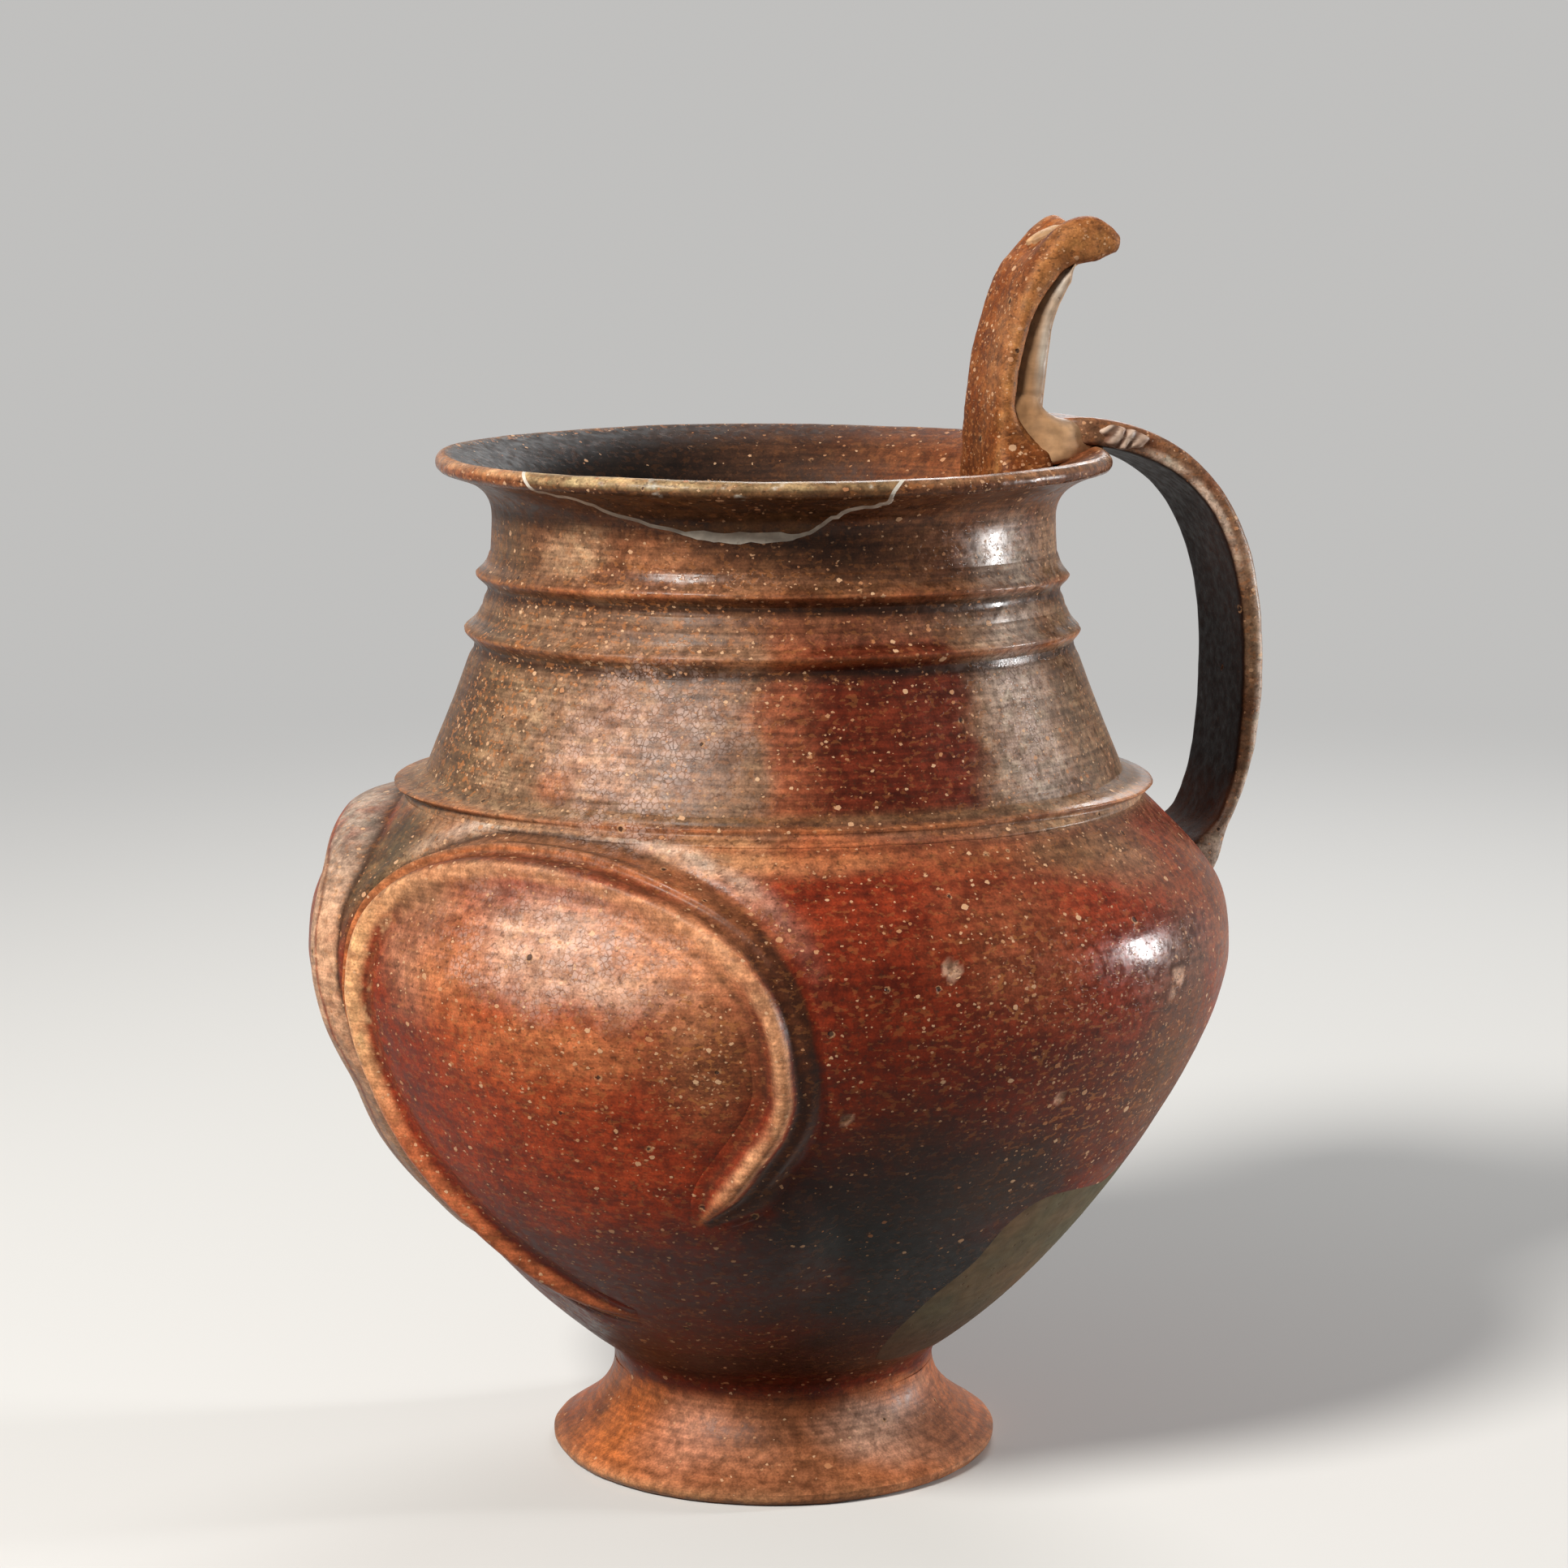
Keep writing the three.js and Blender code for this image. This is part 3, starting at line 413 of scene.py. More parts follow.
def boss_shape(angle, height):
    """How far the wall swells out at the bosses, and the relief of their ribs."""
    swell = np.zeros(len(angle))
    relief = np.zeros(len(angle))
    for boss, (across, along, depth) in zip(BOSSES, boss_places(angle, height)):
        share = 0.74 * smooth(-9.2, -5.2, depth) + 0.26 * smooth(-5.2, 1.5, depth)
        eased = (1 - boss[2]) * smooth(*FAR_EASE_HEIGHTS, height) * smooth(*FAR_EASE_ANGLES, angle)
        kept = 1 - FAR_EASE * eased
        swell = np.maximum(swell, share * boss_swell(boss, angle, height) * kept)
        relief = relief + rib_relief(across, along, boss[2]) * kept
    ended = relief * (1 - smooth(*GROOVE_END_HEIGHTS, height))
    return swell, np.where(relief < 0, ended, relief)


# Hand-made irregularity of the wall
def wobble(angle, height):
    turn = np.radians(angle)
    slow = 0.2 * np.sin(2 * turn + 0.7 + height / 60) + 0.14 * np.sin(5 * turn + 2.1 - height / 37)
    quick = 0.06 * np.sin(11 * turn + height / 15) + 0.04 * np.sin(23 * turn + 1.3 - height / 8)
    return slow + quick


def burnish(points):
    """Shallow facets that the burnishing stone left, longer across than up."""
    return 0.16 * clouds(points, 26, (1, 1, 0.28))


def cordon_relief(rise, out):
    above = out * np.exp(-np.abs(np.maximum(rise, 0) / 2.7) ** 1.35)
    below = out * (1 - smooth(0.2, 2.7, -rise))
    return np.where(rise > 0, above, below) + bell(rise, -0.55, -3.7, 1.3)


def neck_grooves(height):
    grooves = 0
    for cordon in (LOWER_CORDON, UPPER_CORDON):
        grooves = grooves + bell(height - cordon["height"], -0.55, -3.7, 1.3)
    return grooves


PITS = (
    # angle, height, radius and depth of the larger chips in the wall
    (274, 137, 2.4, 0.5), (310, 127, 3.2, 0.12), (308.6, 123.5, 2.2, 0.12), (262, 104, 1.5, 0.5),
    (291, 104, 1.7, 0.5), (246, 63, 1.7, 0.5), (259, 66, 1.8, 0.5), (20, 118, 2.4, 0.6),
    (48, 96, 1.7, 0.5), (86, 130, 2.4, 0.6), (112, 84, 1.8, 0.5), (350, 104, 1.9, 0.5),
)


def pitting(points):
    """Depth of the larger pits and chips at each point."""
    depth = np.zeros(len(points))
    for angle, height, radius, sink in PITS:
        middle = out_from_axis(np.array(float(angle)), wall_radius(height), np.array(float(height)))
        gap = np.linalg.norm(points - middle, axis=1)
        near = gap < 2 * radius + 8
        ragged = gap[near] * (1 + 0.9 * clouds(points[near], 3.4))
        depth[near] = np.maximum(depth[near], sink * (1 - smooth(radius * 0.35, radius, ragged)))
    return depth


def skin(angle, height, lift=0.0, under_ribs=0.0):
    """Points of the outer skin over the wall, at angles in degrees and heights."""
    swell, relief = boss_shape(angle, height)
    slope = wall_slope(height)
    length = np.hypot(1, slope)
    radius = wall_radius(height) + swell + wobble(angle, height)
    base = out_from_axis(angle, radius, height)
    normal = out_from_axis(angle, 1 / length, -slope / length)
    grooves = np.where(height > SHOULDER_HEIGHT, neck_grooves(height), 0)
    raised = relief + grooves + burnish(base) - pitting(base) + lift
    if under_ribs:
        for across, along, _ in boss_places(angle, height):
            covered = within(across, -9.5, -7, 4.5, 6.8)
            raised = raised - under_ribs * covered * smooth(0.0, 0.05, np.minimum(along, 1 - along))
    return base + normal * raised[:, None]


# Meshes
def grid_faces(rows, columns, wrap_rows, wrap_columns):
    row_count = rows if wrap_rows else rows - 1
    column_count = columns if wrap_columns else columns - 1
    row, column = np.meshgrid(np.arange(row_count), np.arange(column_count), indexing="ij")
    next_row = (row + 1) % rows
    next_column = (column + 1) % columns
    corners = [
        row * columns + column, row * columns + next_column,
        next_row * columns + next_column, next_row * columns + column,
    ]
    return np.stack(corners, axis=-1).reshape(-1, 4)


def new_mesh(points, faces):
    """Mesh with its faces turned outward. Points are millimetres from the vessel's axis."""
    volume = 0
    for group in faces:
        for last in range(2, group.shape[1]):
            a, b, c = points[group[:, 0]], points[group[:, last - 1]], points[group[:, last]]
            volume += np.einsum("ij,ij->i", a, np.cross(b, c)).sum()
    if volume < 0:
        faces = [group[:, ::-1] for group in faces]
    mesh = bpy.data.meshes.new("skin")
    mesh.from_pydata(points * MM + AXIS, [], sum((group.tolist() for group in faces), []))
    mesh.update()
    return mesh


def ring_mesh(grid):
    """Closed section carried all the way round: rows along the section, columns round it."""
    rows, columns = grid.shape[:2]
    return new_mesh(grid.reshape(-1, 3), [grid_faces(rows, columns, True, True)])


def tube_mesh(rings):
    """Closed rings along a path, with a fan at each end."""
    rows, columns = rings.shape[:2]
    points = rings.reshape(-1, 3)
    points = np.vstack([points, rings[0].mean(0), rings[-1].mean(0)])
    column = np.arange(columns)
    after = (column + 1) % columns
    last = (rows - 1) * columns
    start_fan = np.column_stack([np.full(columns, rows * columns), after, column])
    end_fan = np.column_stack([np.full(columns, rows * columns + 1), last + column, last + after])
    return new_mesh(points, [grid_faces(rows, columns, False, True), start_fan, end_fan])


# Cutting prisms start this far from the axis, in millimetres
PRISM_START = 20


def prism_mesh(outline, bearing):
    """Prism out through one side of the vessel, its outline drawn square to that way."""
    outward = out_from_axis(np.array(float(bearing)), np.array(1.0), np.array(0.0))
    across = np.cross((0, 0, 1), outward)
    sides = [
        outline[:, :1] * across + outline[:, 1:] * np.array((0, 0, 1)) + reach * outward
        for reach in (PRISM_START, 2 * BELLY_RADIUS)
    ]
    count = len(outline)
    faces = grid_faces(2, count, False, True).tolist()
    faces.append(list(range(count))[::-1])
    faces.append(list(range(count, 2 * count)))
    mesh = bpy.data.meshes.new("prism")
    mesh.from_pydata((np.vstack(sides) * MM + AXIS).tolist(), [], faces)
    mesh.update()
    return mesh


def combined(mesh, tool, operation):
    """The first mesh cut by or kept inside the second."""
    objects = [bpy.data.objects.new("working", data) for data in (mesh, tool)]
    for item in objects:
        bpy.context.scene.collection.objects.link(item)
    modifier = objects[0].modifiers.new("cut", "BOOLEAN")
    modifier.operation = operation
    modifier.object = objects[1]
    modifier.solver = "MANIFOLD"
    graph = bpy.context.evaluated_depsgraph_get()
    result = bpy.data.meshes.new_from_object(objects[0].evaluated_get(graph))
    for item in objects:
        bpy.data.objects.remove(item)
    return result


def turned_grid(section):
    """Plain turned section, every column alike before it is shaped."""
    angles = np.arange(0, 360, TURN_STEP)
    radius = np.repeat(section[:, 0], len(angles))
    height = np.repeat(section[:, 1], len(angles))
    angle = np.tile(angles, len(section))
    return angle, radius, height, (len(section), len(angles), 3)


# Walls of the vessel
def wall_piece(bottom, top, wall, line):
    inside_top_down = np.linspace(top, bottom, 24)
    between = line[(line[:, 1] > bottom + 0.01) & (line[:, 1] < top - 0.01)]
    ends = [(np.interp(height, line[:, 1], line[:, 0]), height) for height in (bottom, top)]
    outer = evenly(np.vstack([ends[:1], between, ends[1:]]), ROW_STEP)
    depth = wall * np.hypot(1, wall_slope(inside_top_down))
    inner = np.column_stack([wall_radius(inside_top_down) - depth, inside_top_down])
    section = np.vstack([outer, inner])
    angle, radius, height, shape = turned_grid(section)
    points = out_from_axis(angle, radius, height)
    outside = np.arange(len(angle)) < len(outer) * shape[1]
    edge = top - 1e-4 if line is body_line else top
    points[outside] = skin(angle[outside], np.minimum(height[outside], edge), under_ribs=0.6)
    return ring_mesh(points.reshape(shape))


def foot_piece():
    hollow = bezier(
        (FOOT_HOLLOW_RADIUS, WAIST_HEIGHT), (FOOT_HOLLOW_RADIUS, WAIST_HEIGHT - FOOT_SWEEP),
        (FOOT_HOLLOW_PULL, FOOT_EDGE_HEIGHT), (FOOT_REST[0], 0), 30,
    )
    edge = spline(np.array([
        (FOOT_REST[0], 0), (49, 0), (FOOT_REST[1], 0.05), (53.0, 0.6), (53.9, 1.8),
        (FOOT_RADIUS, FOOT_EDGE_HEIGHT),
    ]), 6)
    outer = evenly(body_line[body_line[:, 1] <= WAIST_HEIGHT], ROW_STEP * 0.8)
    section = np.vstack([edge, outer[1:], hollow[:-1]])
    angle, radius, height, shape = turned_grid(section)
    lifted = smooth(0.5, 4, height)
    radius = radius + 0.5 * wobble(angle, height * 3) * (1 + lifted)
    points = out_from_axis(angle, radius, height)
    ragged = 0.35 * clouds(points, 9) * smooth(50, 53, radius) * (1 - smooth(3, 9, height))
    points[:, 2] += np.where(height > 0.3, ragged, 0)
    points += outward_at(angle) * (0.7 * burnish(points) * lifted)[:, None]
    return ring_mesh(points.reshape(shape))


def base_piece():
    outer = evenly(body_line[(body_line[:, 1] >= WAIST_HEIGHT) & (body_line[:, 1] <= BASE_TOP)], 0.8)
    inner = np.column_stack([np.linspace(BASE_RADIUS - 2, 0.5, 12), np.full(12, BASE_TOP)])
    under = np.column_stack([np.linspace(0.5, WAIST_RADIUS - 2, 12), np.full(12, WAIST_HEIGHT)])
    section = np.vstack([outer, inner, under])
    angle, radius, height, shape = turned_grid(section)
    points = out_from_axis(angle, radius, height)
    outside = radius > WAIST_RADIUS - 0.01
    points[outside] = skin(angle[outside], height[outside])
    return ring_mesh(points.reshape(shape))


def crest_wave(angle, height):
    """How far a neck cordon's crest wanders up and down on its way round."""
    return 0.35 * np.sin(np.radians(angle) * 2 + height / 7)


def neck_cordon_piece(cordon):
    height = cordon["height"]
    rises = np.linspace(-cordon["below"], cordon["above"], 44)
    outer = np.column_stack([wall_radius(height + rises), height + rises])
    inner = np.column_stack([wall_radius(height + rises[::-11]) - 2.5, height + rises[::-11]])
    section = np.vstack([outer, inner])
    angle, radius, up, shape = turned_grid(section)
    outside = np.arange(len(angle)) < len(outer) * shape[1]
    points = out_from_axis(angle, radius, up)
    rise = up - height
    worn = 1 + 0.22 * np.sin(np.radians(angle) * 3 + height) + 0.5 * clouds(points, 14)
    relief = cordon_relief(rise - crest_wave(angle, height), cordon["out"]) * np.clip(worn, 0.55, 1.15)
    feather = -0.35 * (1 - smooth(0, 1.4, rise + cordon["below"]))
    feather = feather - 0.35 * (1 - smooth(0, 1.4, cordon["above"] - rise))
    lift = relief - neck_grooves(up) + feather
    points[outside] = skin(angle[outside], up[outside], lift=lift[outside])
    return ring_mesh(points.reshape(shape))


# The shoulder cordon stands out all round, but for a side where it is worn nearly flat
SHOULDER_CREST = 163.9
FLAT_SIDE = 256


def shoulder_cordon_piece():
    angles = np.arange(0, 360, TURN_STEP)
    off_middle = abs(turned_by(angles, FLAT_SIDE))
    flange = 0.14 + 0.86 * smooth(30, 74, off_middle) + 0.05 * np.sin(np.radians(angles) * 7)
    low, high = wall_radius(160.8), wall_radius(169.0)
    columns = []
    for share, angle in zip(np.minimum(flange, 1), angles):
        out = SHOULDER_CORDON_OUT * share
        outer = spline(np.array([
            (low - 0.6, 160.2), (low - 0.05, 161.3), (85.9 + 0.5 * out, 162.9),
            (85.5 + 1.1 * out, SHOULDER_CREST), (85.4 + 1.1 * out, 164.5), (84.6 + 0.7 * out, 165.0),
            (84.2 + 0.3 * out, 165.9), (high + 0.25, 167.4), (high - 0.05, 169.0), (high - 1.0, 171.2),
        ]), 6)
        inner = np.array([(high - 2.5, 170.0), (84.6 - 2.5, 164.5), (low - 3, 160.4)])
        section = np.vstack([outer, inner]) + (0.5 * wobble(angle, 164), 0)
        columns.append(out_from_axis(np.full(len(section), angle), section[:, 0], section[:, 1]))
    grid = np.stack(columns, axis=1)
    flat = grid.reshape(-1, 3)
    radial = flat * (1, 1, 0) / np.linalg.norm(flat[:, :2], axis=1)[:, None]
    flat = flat + radial * (0.5 * clouds(flat, 7))[:, None] * 0.5
    return ring_mesh(flat.reshape(grid.shape))


def rim_section():
    lip_bottom = MOUTH_HEIGHT - LIP_EDGE
    bore = THROAT_RADIUS - NECK_WALL
    neck = np.column_stack([np.full(8, THROAT_RADIUS), np.linspace(NECK_JOINT, 226, 8)])
    neck[:, 0] = wall_radius(neck[:, 1])
    flare = bezier(
        (THROAT_RADIUS, THROAT_HEIGHT), (THROAT_RADIUS, THROAT_HEIGHT + FLARE_PULL),
        (MOUTH_RADIUS - FLARE_PULL, lip_bottom - FLARE_DROOP),
        (MOUTH_RADIUS - LIP_BEVEL, lip_bottom), 30,
    )
    lip = spline(np.array([
        (MOUTH_RADIUS - LIP_BEVEL, lip_bottom), (MOUTH_RADIUS, lip_bottom + 0.8),
        (MOUTH_RADIUS + 0.1, lip_bottom + 1.9), (MOUTH_RADIUS - 0.25, MOUTH_HEIGHT - 1),
        (MOUTH_RADIUS - 1, MOUTH_HEIGHT - 0.3), (MOUTH_RADIUS - 3 * LIP_BEVEL, MOUTH_HEIGHT),
    ]), 5)
    dish = bezier(
        (MOUTH_RADIUS - 3 * LIP_BEVEL, MOUTH_HEIGHT),
        (MOUTH_RADIUS - 3 * LIP_BEVEL - FLARE_PULL, MOUTH_HEIGHT - MOUTH_DISH),
        (bore, lip_bottom - MOUTH_DISH), (bore, THROAT_HEIGHT - MOUTH_DISH), 34,
    )
    foot = np.array([(wall_radius(NECK_JOINT) - NECK_WALL, NECK_JOINT)])
    return np.vstack([neck, flare, lip[1:], dish[1:], foot])


def rim_drop(points):
    """How far the leaning rim lies below a level one, more from the neck up to the lip."""
    ahead = points[:, 0] * np.cos(RIM_LEAN_TOWARD) + points[:, 1] * np.sin(RIM_LEAN_TOWARD)
    return np.tan(RIM_LEAN) * ahead * smooth(NECK_JOINT, MOUTH_HEIGHT - LIP_EDGE, points[:, 2])


def rim_mesh():
    angle, radius, height, shape = turned_grid(rim_section())
    free = smooth(NECK_JOINT, 226, height)
    turn = np.radians(angle)
    uneven = 0.35 * np.sin(3 * turn + 1) + 0.15 * np.sin(8 * turn)
    radius = radius + free * uneven + (1 - free) * wobble(angle, height)
    points = out_from_axis(angle, radius, height)
    points[:, 2] -= rim_drop(points)
    dents = 0.9 * burnish(points) + 0.25 * clouds(points, 5) * smooth(79, 80, radius)
    points += outward_at(angle) * dents[:, None]
    points[:, 2] += free * (0.12 * np.sin(5 * turn + 0.4) + 0.2 * clouds(points, 12))
    return ring_mesh(points.reshape(shape))


def grown(outline, distance):
    before = outline - np.roll(outline, 1, axis=0)
    after = np.roll(outline, -1, axis=0) - outline
    before = before / np.linalg.norm(before, axis=1)[:, None]
    after = after / np.linalg.norm(after, axis=1)[:, None]
    normal = np.column_stack([before[:, 1] + after[:, 1], -before[:, 0] - after[:, 0]])
    normal = normal / np.linalg.norm(normal, axis=1)[:, None]
    stretch = np.maximum(0.5, normal[:, 0] * after[:, 1] - normal[:, 1] * after[:, 0])
    return outline + normal * (distance / stretch)[:, None]


def rim_pieces():
    whole = rim_mesh()
    line = spline(CRACK_LINE, 5)
    along_crack = np.column_stack([line[:, 0], line[:, 0] * 0, line[:, 1]])
    line[:, 1] += 0.9 * clouds(along_crack, 2.6) * (line[:, 1] < 240)
    top = MOUTH_HEIGHT + 12
    crack = np.vstack([line, (line[-1, 0], top), (line[0, 0], top)])
    sherd = grown(crack, -SEAM_WIDTH)
    along_sherd = sherd * (1, 0)
    along_sherd = np.column_stack([along_sherd, along_sherd[:, 1]])
    lowest = SHERD_BOTTOM - 0.3 + 0.8 * clouds(along_sherd, 4)
    sherd[:, 1] = np.maximum(sherd[:, 1], lowest)
    crack_prism = prism_mesh(crack, SHERD_ANGLE)
    sherd_prism = prism_mesh(sherd, SHERD_ANGLE)
    rim = combined(whole, crack_prism, "DIFFERENCE")
    seam = combined(combined(whole, crack_prism, "INTERSECT"), sherd_prism, "DIFFERENCE")
    inside = combined(whole, sherd_prism, "INTERSECT")
    return rim, inside, seam


def belly_pieces():
    lower = wall_piece(BASE_TOP, BELLY_JOINT, BELLY_WALL, body_line)
    line = spline(np.vstack([PATCH_LINE, PATCH_LINE[:1]]), 6)[:-1]
    patch = prism_mesh(line, PATCH_ANGLE)
    return combined(lower, patch, "DIFFERENCE"), combined(lower, patch, "INTERSECT")


# Ribs: strips of the same skin, dipping under the wall along their borders
RIB_OUTSIDE = 10.6
RIB_INSIDE = 7.6
RIB_BORDER = 1.6
RIB_ROOT = -3.0


def rib_piece(boss):
    middle, side, _ = boss
    rows = evenly(arch_line, 0.9)
    tangent = np.gradient(rows, axis=0)
    tangent = tangent / np.linalg.norm(tangent, axis=1)[:, None]
    inward = np.column_stack([-tangent[:, 1], tangent[:, 0]])
    share = np.linspace(0, 1, len(rows))
    narrow = lerp(0.5, 1, rib_fullness(share))
    across = np.linspace(-RIB_OUTSIDE, RIB_INSIDE, 42)
    spots = rows[:, None] + inward[:, None] * (across[None, :] * narrow[:, None])[..., None]
    spots = spots.reshape(-1, 2)
    height = height_at_climb(spots[:, 1] + wall_climb(BOSS_HEIGHT))
    angle = middle + side * np.degrees(spots[:, 0] / wall_radius(height))
    spread = np.tile(across, len(rows))
    lift = 0.05 - 0.5 * (1 - smooth(0, RIB_BORDER, spread + RIB_OUTSIDE))
    lift = lift - 0.5 * (1 - smooth(0, RIB_BORDER, RIB_INSIDE - spread))
    ends = np.repeat(np.minimum(share, 1 - share), len(across))
    lift = lift - 0.6 * (1 - smooth(0, 0.02, ends))
    top = skin(angle, height, lift=lift).reshape(len(rows), len(across), 3)
    under = skin(angle, height, lift=np.full(len(angle), RIB_ROOT)).reshape(top.shape)
    return tube_mesh(np.concatenate([top, under[:, ::-6]], axis=1))


# Handle: closed rings of corners across a path in the handle's plane
def soft_ring(corners, count, passes):
    """Corners of a closed outline, spread evenly and rounded."""
    closed = np.vstack([corners, corners[:1]])
    lengths = np.concatenate([[0], np.cumsum(np.linalg.norm(np.diff(closed, axis=0), axis=1))])
    spots = np.linspace(0, lengths[-1], count, endpoint=False)
    ring = np.column_stack([np.interp(spots, lengths, column) for column in closed.T])
    for _ in range(passes):
        ring = 0.5 * ring + 0.25 * (np.roll(ring, 1, axis=0) + np.roll(ring, -1, axis=0))
    return ring


def ring_across(spot, direction, corners):
    normal = np.array([-direction[1], direction[0]])
    return np.column_stack([
        spot[0] + normal[0] * corners[:, 1],
        corners[:, 0],
        spot[1] + normal[1] * corners[:, 1],
    ])


def path_of(curve):
    direction = np.gradient(curve, axis=0)
    return direction / np.linalg.norm(direction, axis=1)[:, None]


landing = np.array([float(wall_radius(LANDING_HEIGHT)), LANDING_HEIGHT])
STRAP_RINGS = 130
strap_upper = bezier(
    (76, 245.8), (109.7, 242.4), (STRAP_REACH, 216), (STRAP_REACH, STRAP_REACH_HEIGHT), STRAP_RINGS,
)
strap_lower = bezier(
    (STRAP_REACH, STRAP_REACH_HEIGHT), (STRAP_REACH, STRAP_REACH_HEIGHT - 22), landing + 10,
    landing - (3, 1.5), STRAP_RINGS,
)
strap_root = np.array([(67.0, 246.4), (70.0, 246.3), (73.0, 246.1)])
strap_line = np.vstack([strap_upper, strap_lower[1:]])


def strap_thickness(share):
    upper = lerp(7, 5.4, smooth(0, 0.25, share))
    lower = lerp(upper, 3.6, smooth(0.55, 0.85, share))
    return lerp(lower, 10, smooth(0.86, 1, share))


def strap_width(share):
    upper = lerp(28, 30, smooth(0, 0.25, share))
    return lerp(upper, 34, smooth(0.86, 1, share))


def strap_piece():
    directions = path_of(strap_line)
    rings = []
    for i, (spot, direction) in enumerate(zip(strap_line, directions)):
        share = i / (len(strap_line) - 1)
        side = strap_width(share) / 2
        face = strap_thickness(share) / 2
        border = 1.1 * (1 - smooth(0.82, 0.95, share))
        corners = np.array([
            (-side, 1 - face), (1 - side, -face), (side - 1, -face), (side, 1 - face),
            (side, face - 0.9), (side - 1.2, face), (side - 2.6, face),
            (side - 4.8, face - border), (4.8 - side, face - border),
            (2.6 - side, face), (1.2 - side, face), (-side, face - 0.9),
        ])
        ring = soft_ring(corners, 96, 3)
        rings.append(ring_across(spot, direction, ring))
    root = soft_ring(np.array([(-14, -3.5), (14, -3.5), (14, 3.5), (-14, 3.5)]), 96, 3)
    for spot, size in zip(strap_root[::-1], (0.94, 0.78, 0.55)):
        rings.insert(0, ring_across(spot, directions[0], root * (size, size)))
    rings = np.array(rings)
    flat = rings.reshape(-1, 3)
    flat[:, 1] += 0.5 * clouds(flat, 30) * smooth(200, 160, flat[:, 2]) + 0.25 * clouds(flat, 6)
    flat[:, 0] += 0.35 * clouds(flat + 40, 8)
    return tube_mesh(flat.reshape(rings.shape))


HORN_RINGS = 170
horn_curve = bezier(HORN_TIP, HORN_TIP + (-20, 3.5), HORN_FOOT + (0, 27), HORN_FOOT, HORN_RINGS)


def horn_station(share):
    if share <= 1:
        place = share * (HORN_RINGS - 1)
        index = int(min(place, HORN_RINGS - 2))
        step = horn_curve[index + 1] - horn_curve[index]
        return horn_curve[index] + step * (place - index), step / np.linalg.norm(step)
    return HORN_FOOT - (0, (share - 1) * HORN_ROOT_DEPTH), np.array([0.0, -1.0])


def horn_section(share):
    tip = 9.6 * lerp(0.55, 1, smooth(0, 0.1, share))
    bend = lerp(tip, 7.4, smooth(0.12, 0.35, share))
    stem = lerp(bend, 5, smooth(0.35, 0.6, share))
    root = smooth(0.85, 1.05, share) ** 1.4
    return dict(
        front=lerp(stem / 2, -3, smooth(1.2, 2, share)) + bell(share, 1.6, 0.13, 0.12),
        back=stem / 2 + root * 9.5,
        width=lerp(26, 33, smooth(0.85, 1.3, share)),
        saddle=2.6 * (1 - smooth(0.1, 0.45, share)),
    )


def horn_piece():
    rings = []
    for share in np.linspace(0, 2, HORN_RINGS * 2):
        spot, direction = horn_station(share)
        section = horn_section(share)
        side = section["width"] / 2
        front = -section["front"]
        back = section["back"]
        saddle = section["saddle"]
        corners = np.array([
            (-side, front + 2), (1.6 - side, front + 0.3), (-side * 0.62, front),
            (-side * 0.3, front + 0.45 * saddle), (0, front + saddle),
            (side * 0.3, front + 0.45 * saddle), (side * 0.62, front), (side - 1.6, front + 0.3),
            (side, front + 2), (side, back - 1.6), (side - 1.6, back), (0, back - 0.4),
            (1.6 - side, back), (-side, back - 1.6),
        ])
        ring = soft_ring(corners, SECTION_CORNERS, 3)
        blunt = smooth(-0.05, 0.035, share) ** 0.5
        middle = ring.mean(0)
        ring = middle + (ring - middle) * (0.72 + 0.28 * blunt, blunt)
        tip = 1 - smooth(0, 0.2, share)
        lobe = (smooth(-5, 5, ring[:, 0]) * 5.5 - 1.6) * tip
        placed = ring_across(spot, direction, ring)
        placed[:, 0] += direction[0] * lobe
        placed[:, 2] += direction[1] * lobe + 1.2 * smooth(-4, 4, ring[:, 0]) * tip
        rings.append(placed)
    rings = np.array(rings)
    flat = rings.reshape(-1, 3)
    outside = smooth(238, 246, flat[:, 2])
    flat[:, 0] += outside * (0.7 * clouds(flat, 13) + 0.3 * clouds(flat, 4))
    flat[:, 1] += outside * (0.7 * clouds(flat + 31, 14) + 0.25 * clouds(flat + 9, 4))
    return tube_mesh(flat.reshape(rings.shape))


# Fork fill: its tongue behind the horn, and its foot from under the horn out over the rim
TONGUE_HALF_WIDTH = 12.2
TONGUE_INSET = 2.3
FILL_HEEL = 62.0
FILL_TOE = 79.5


def fill_reach(share):
    """How far the fill stands out behind the horn's middle line."""
    rise = 0.4 * smooth(0.2, 0.32, share) + 0.6 * smooth(0.2, 0.8, share)
    return horn_section(min(share, 1))["back"] + lerp(0.2, 7.6, rise)


def fill_tongue():
    side = TONGUE_HALF_WIDTH
    root = side - TONGUE_INSET
    rings = []
    for share in np.linspace(0.2, 1.04, 90):
        spot, direction = horn_station(share)
        near = horn_section(min(share, 1))["back"] - 1
        far = fill_reach(share)
        ridge = 1.3 * smooth(0.35, 0.6, share)
        corners = np.array([
            (-root, near), (root, near), (root, near + 1.5), (side, far - 2.0), (side - 1.6, far - 0.4),
            (side * 0.5, far - ridge * 0.5), (0, far - ridge), (-side * 0.5, far - ridge * 0.3),
            (1.8 - side, far), (-side, far - 1.8), (-root, near + 1.5),
        ])
        rings.append(ring_across(spot, direction, soft_ring(corners, 64, 3)))
    return np.array(rings)


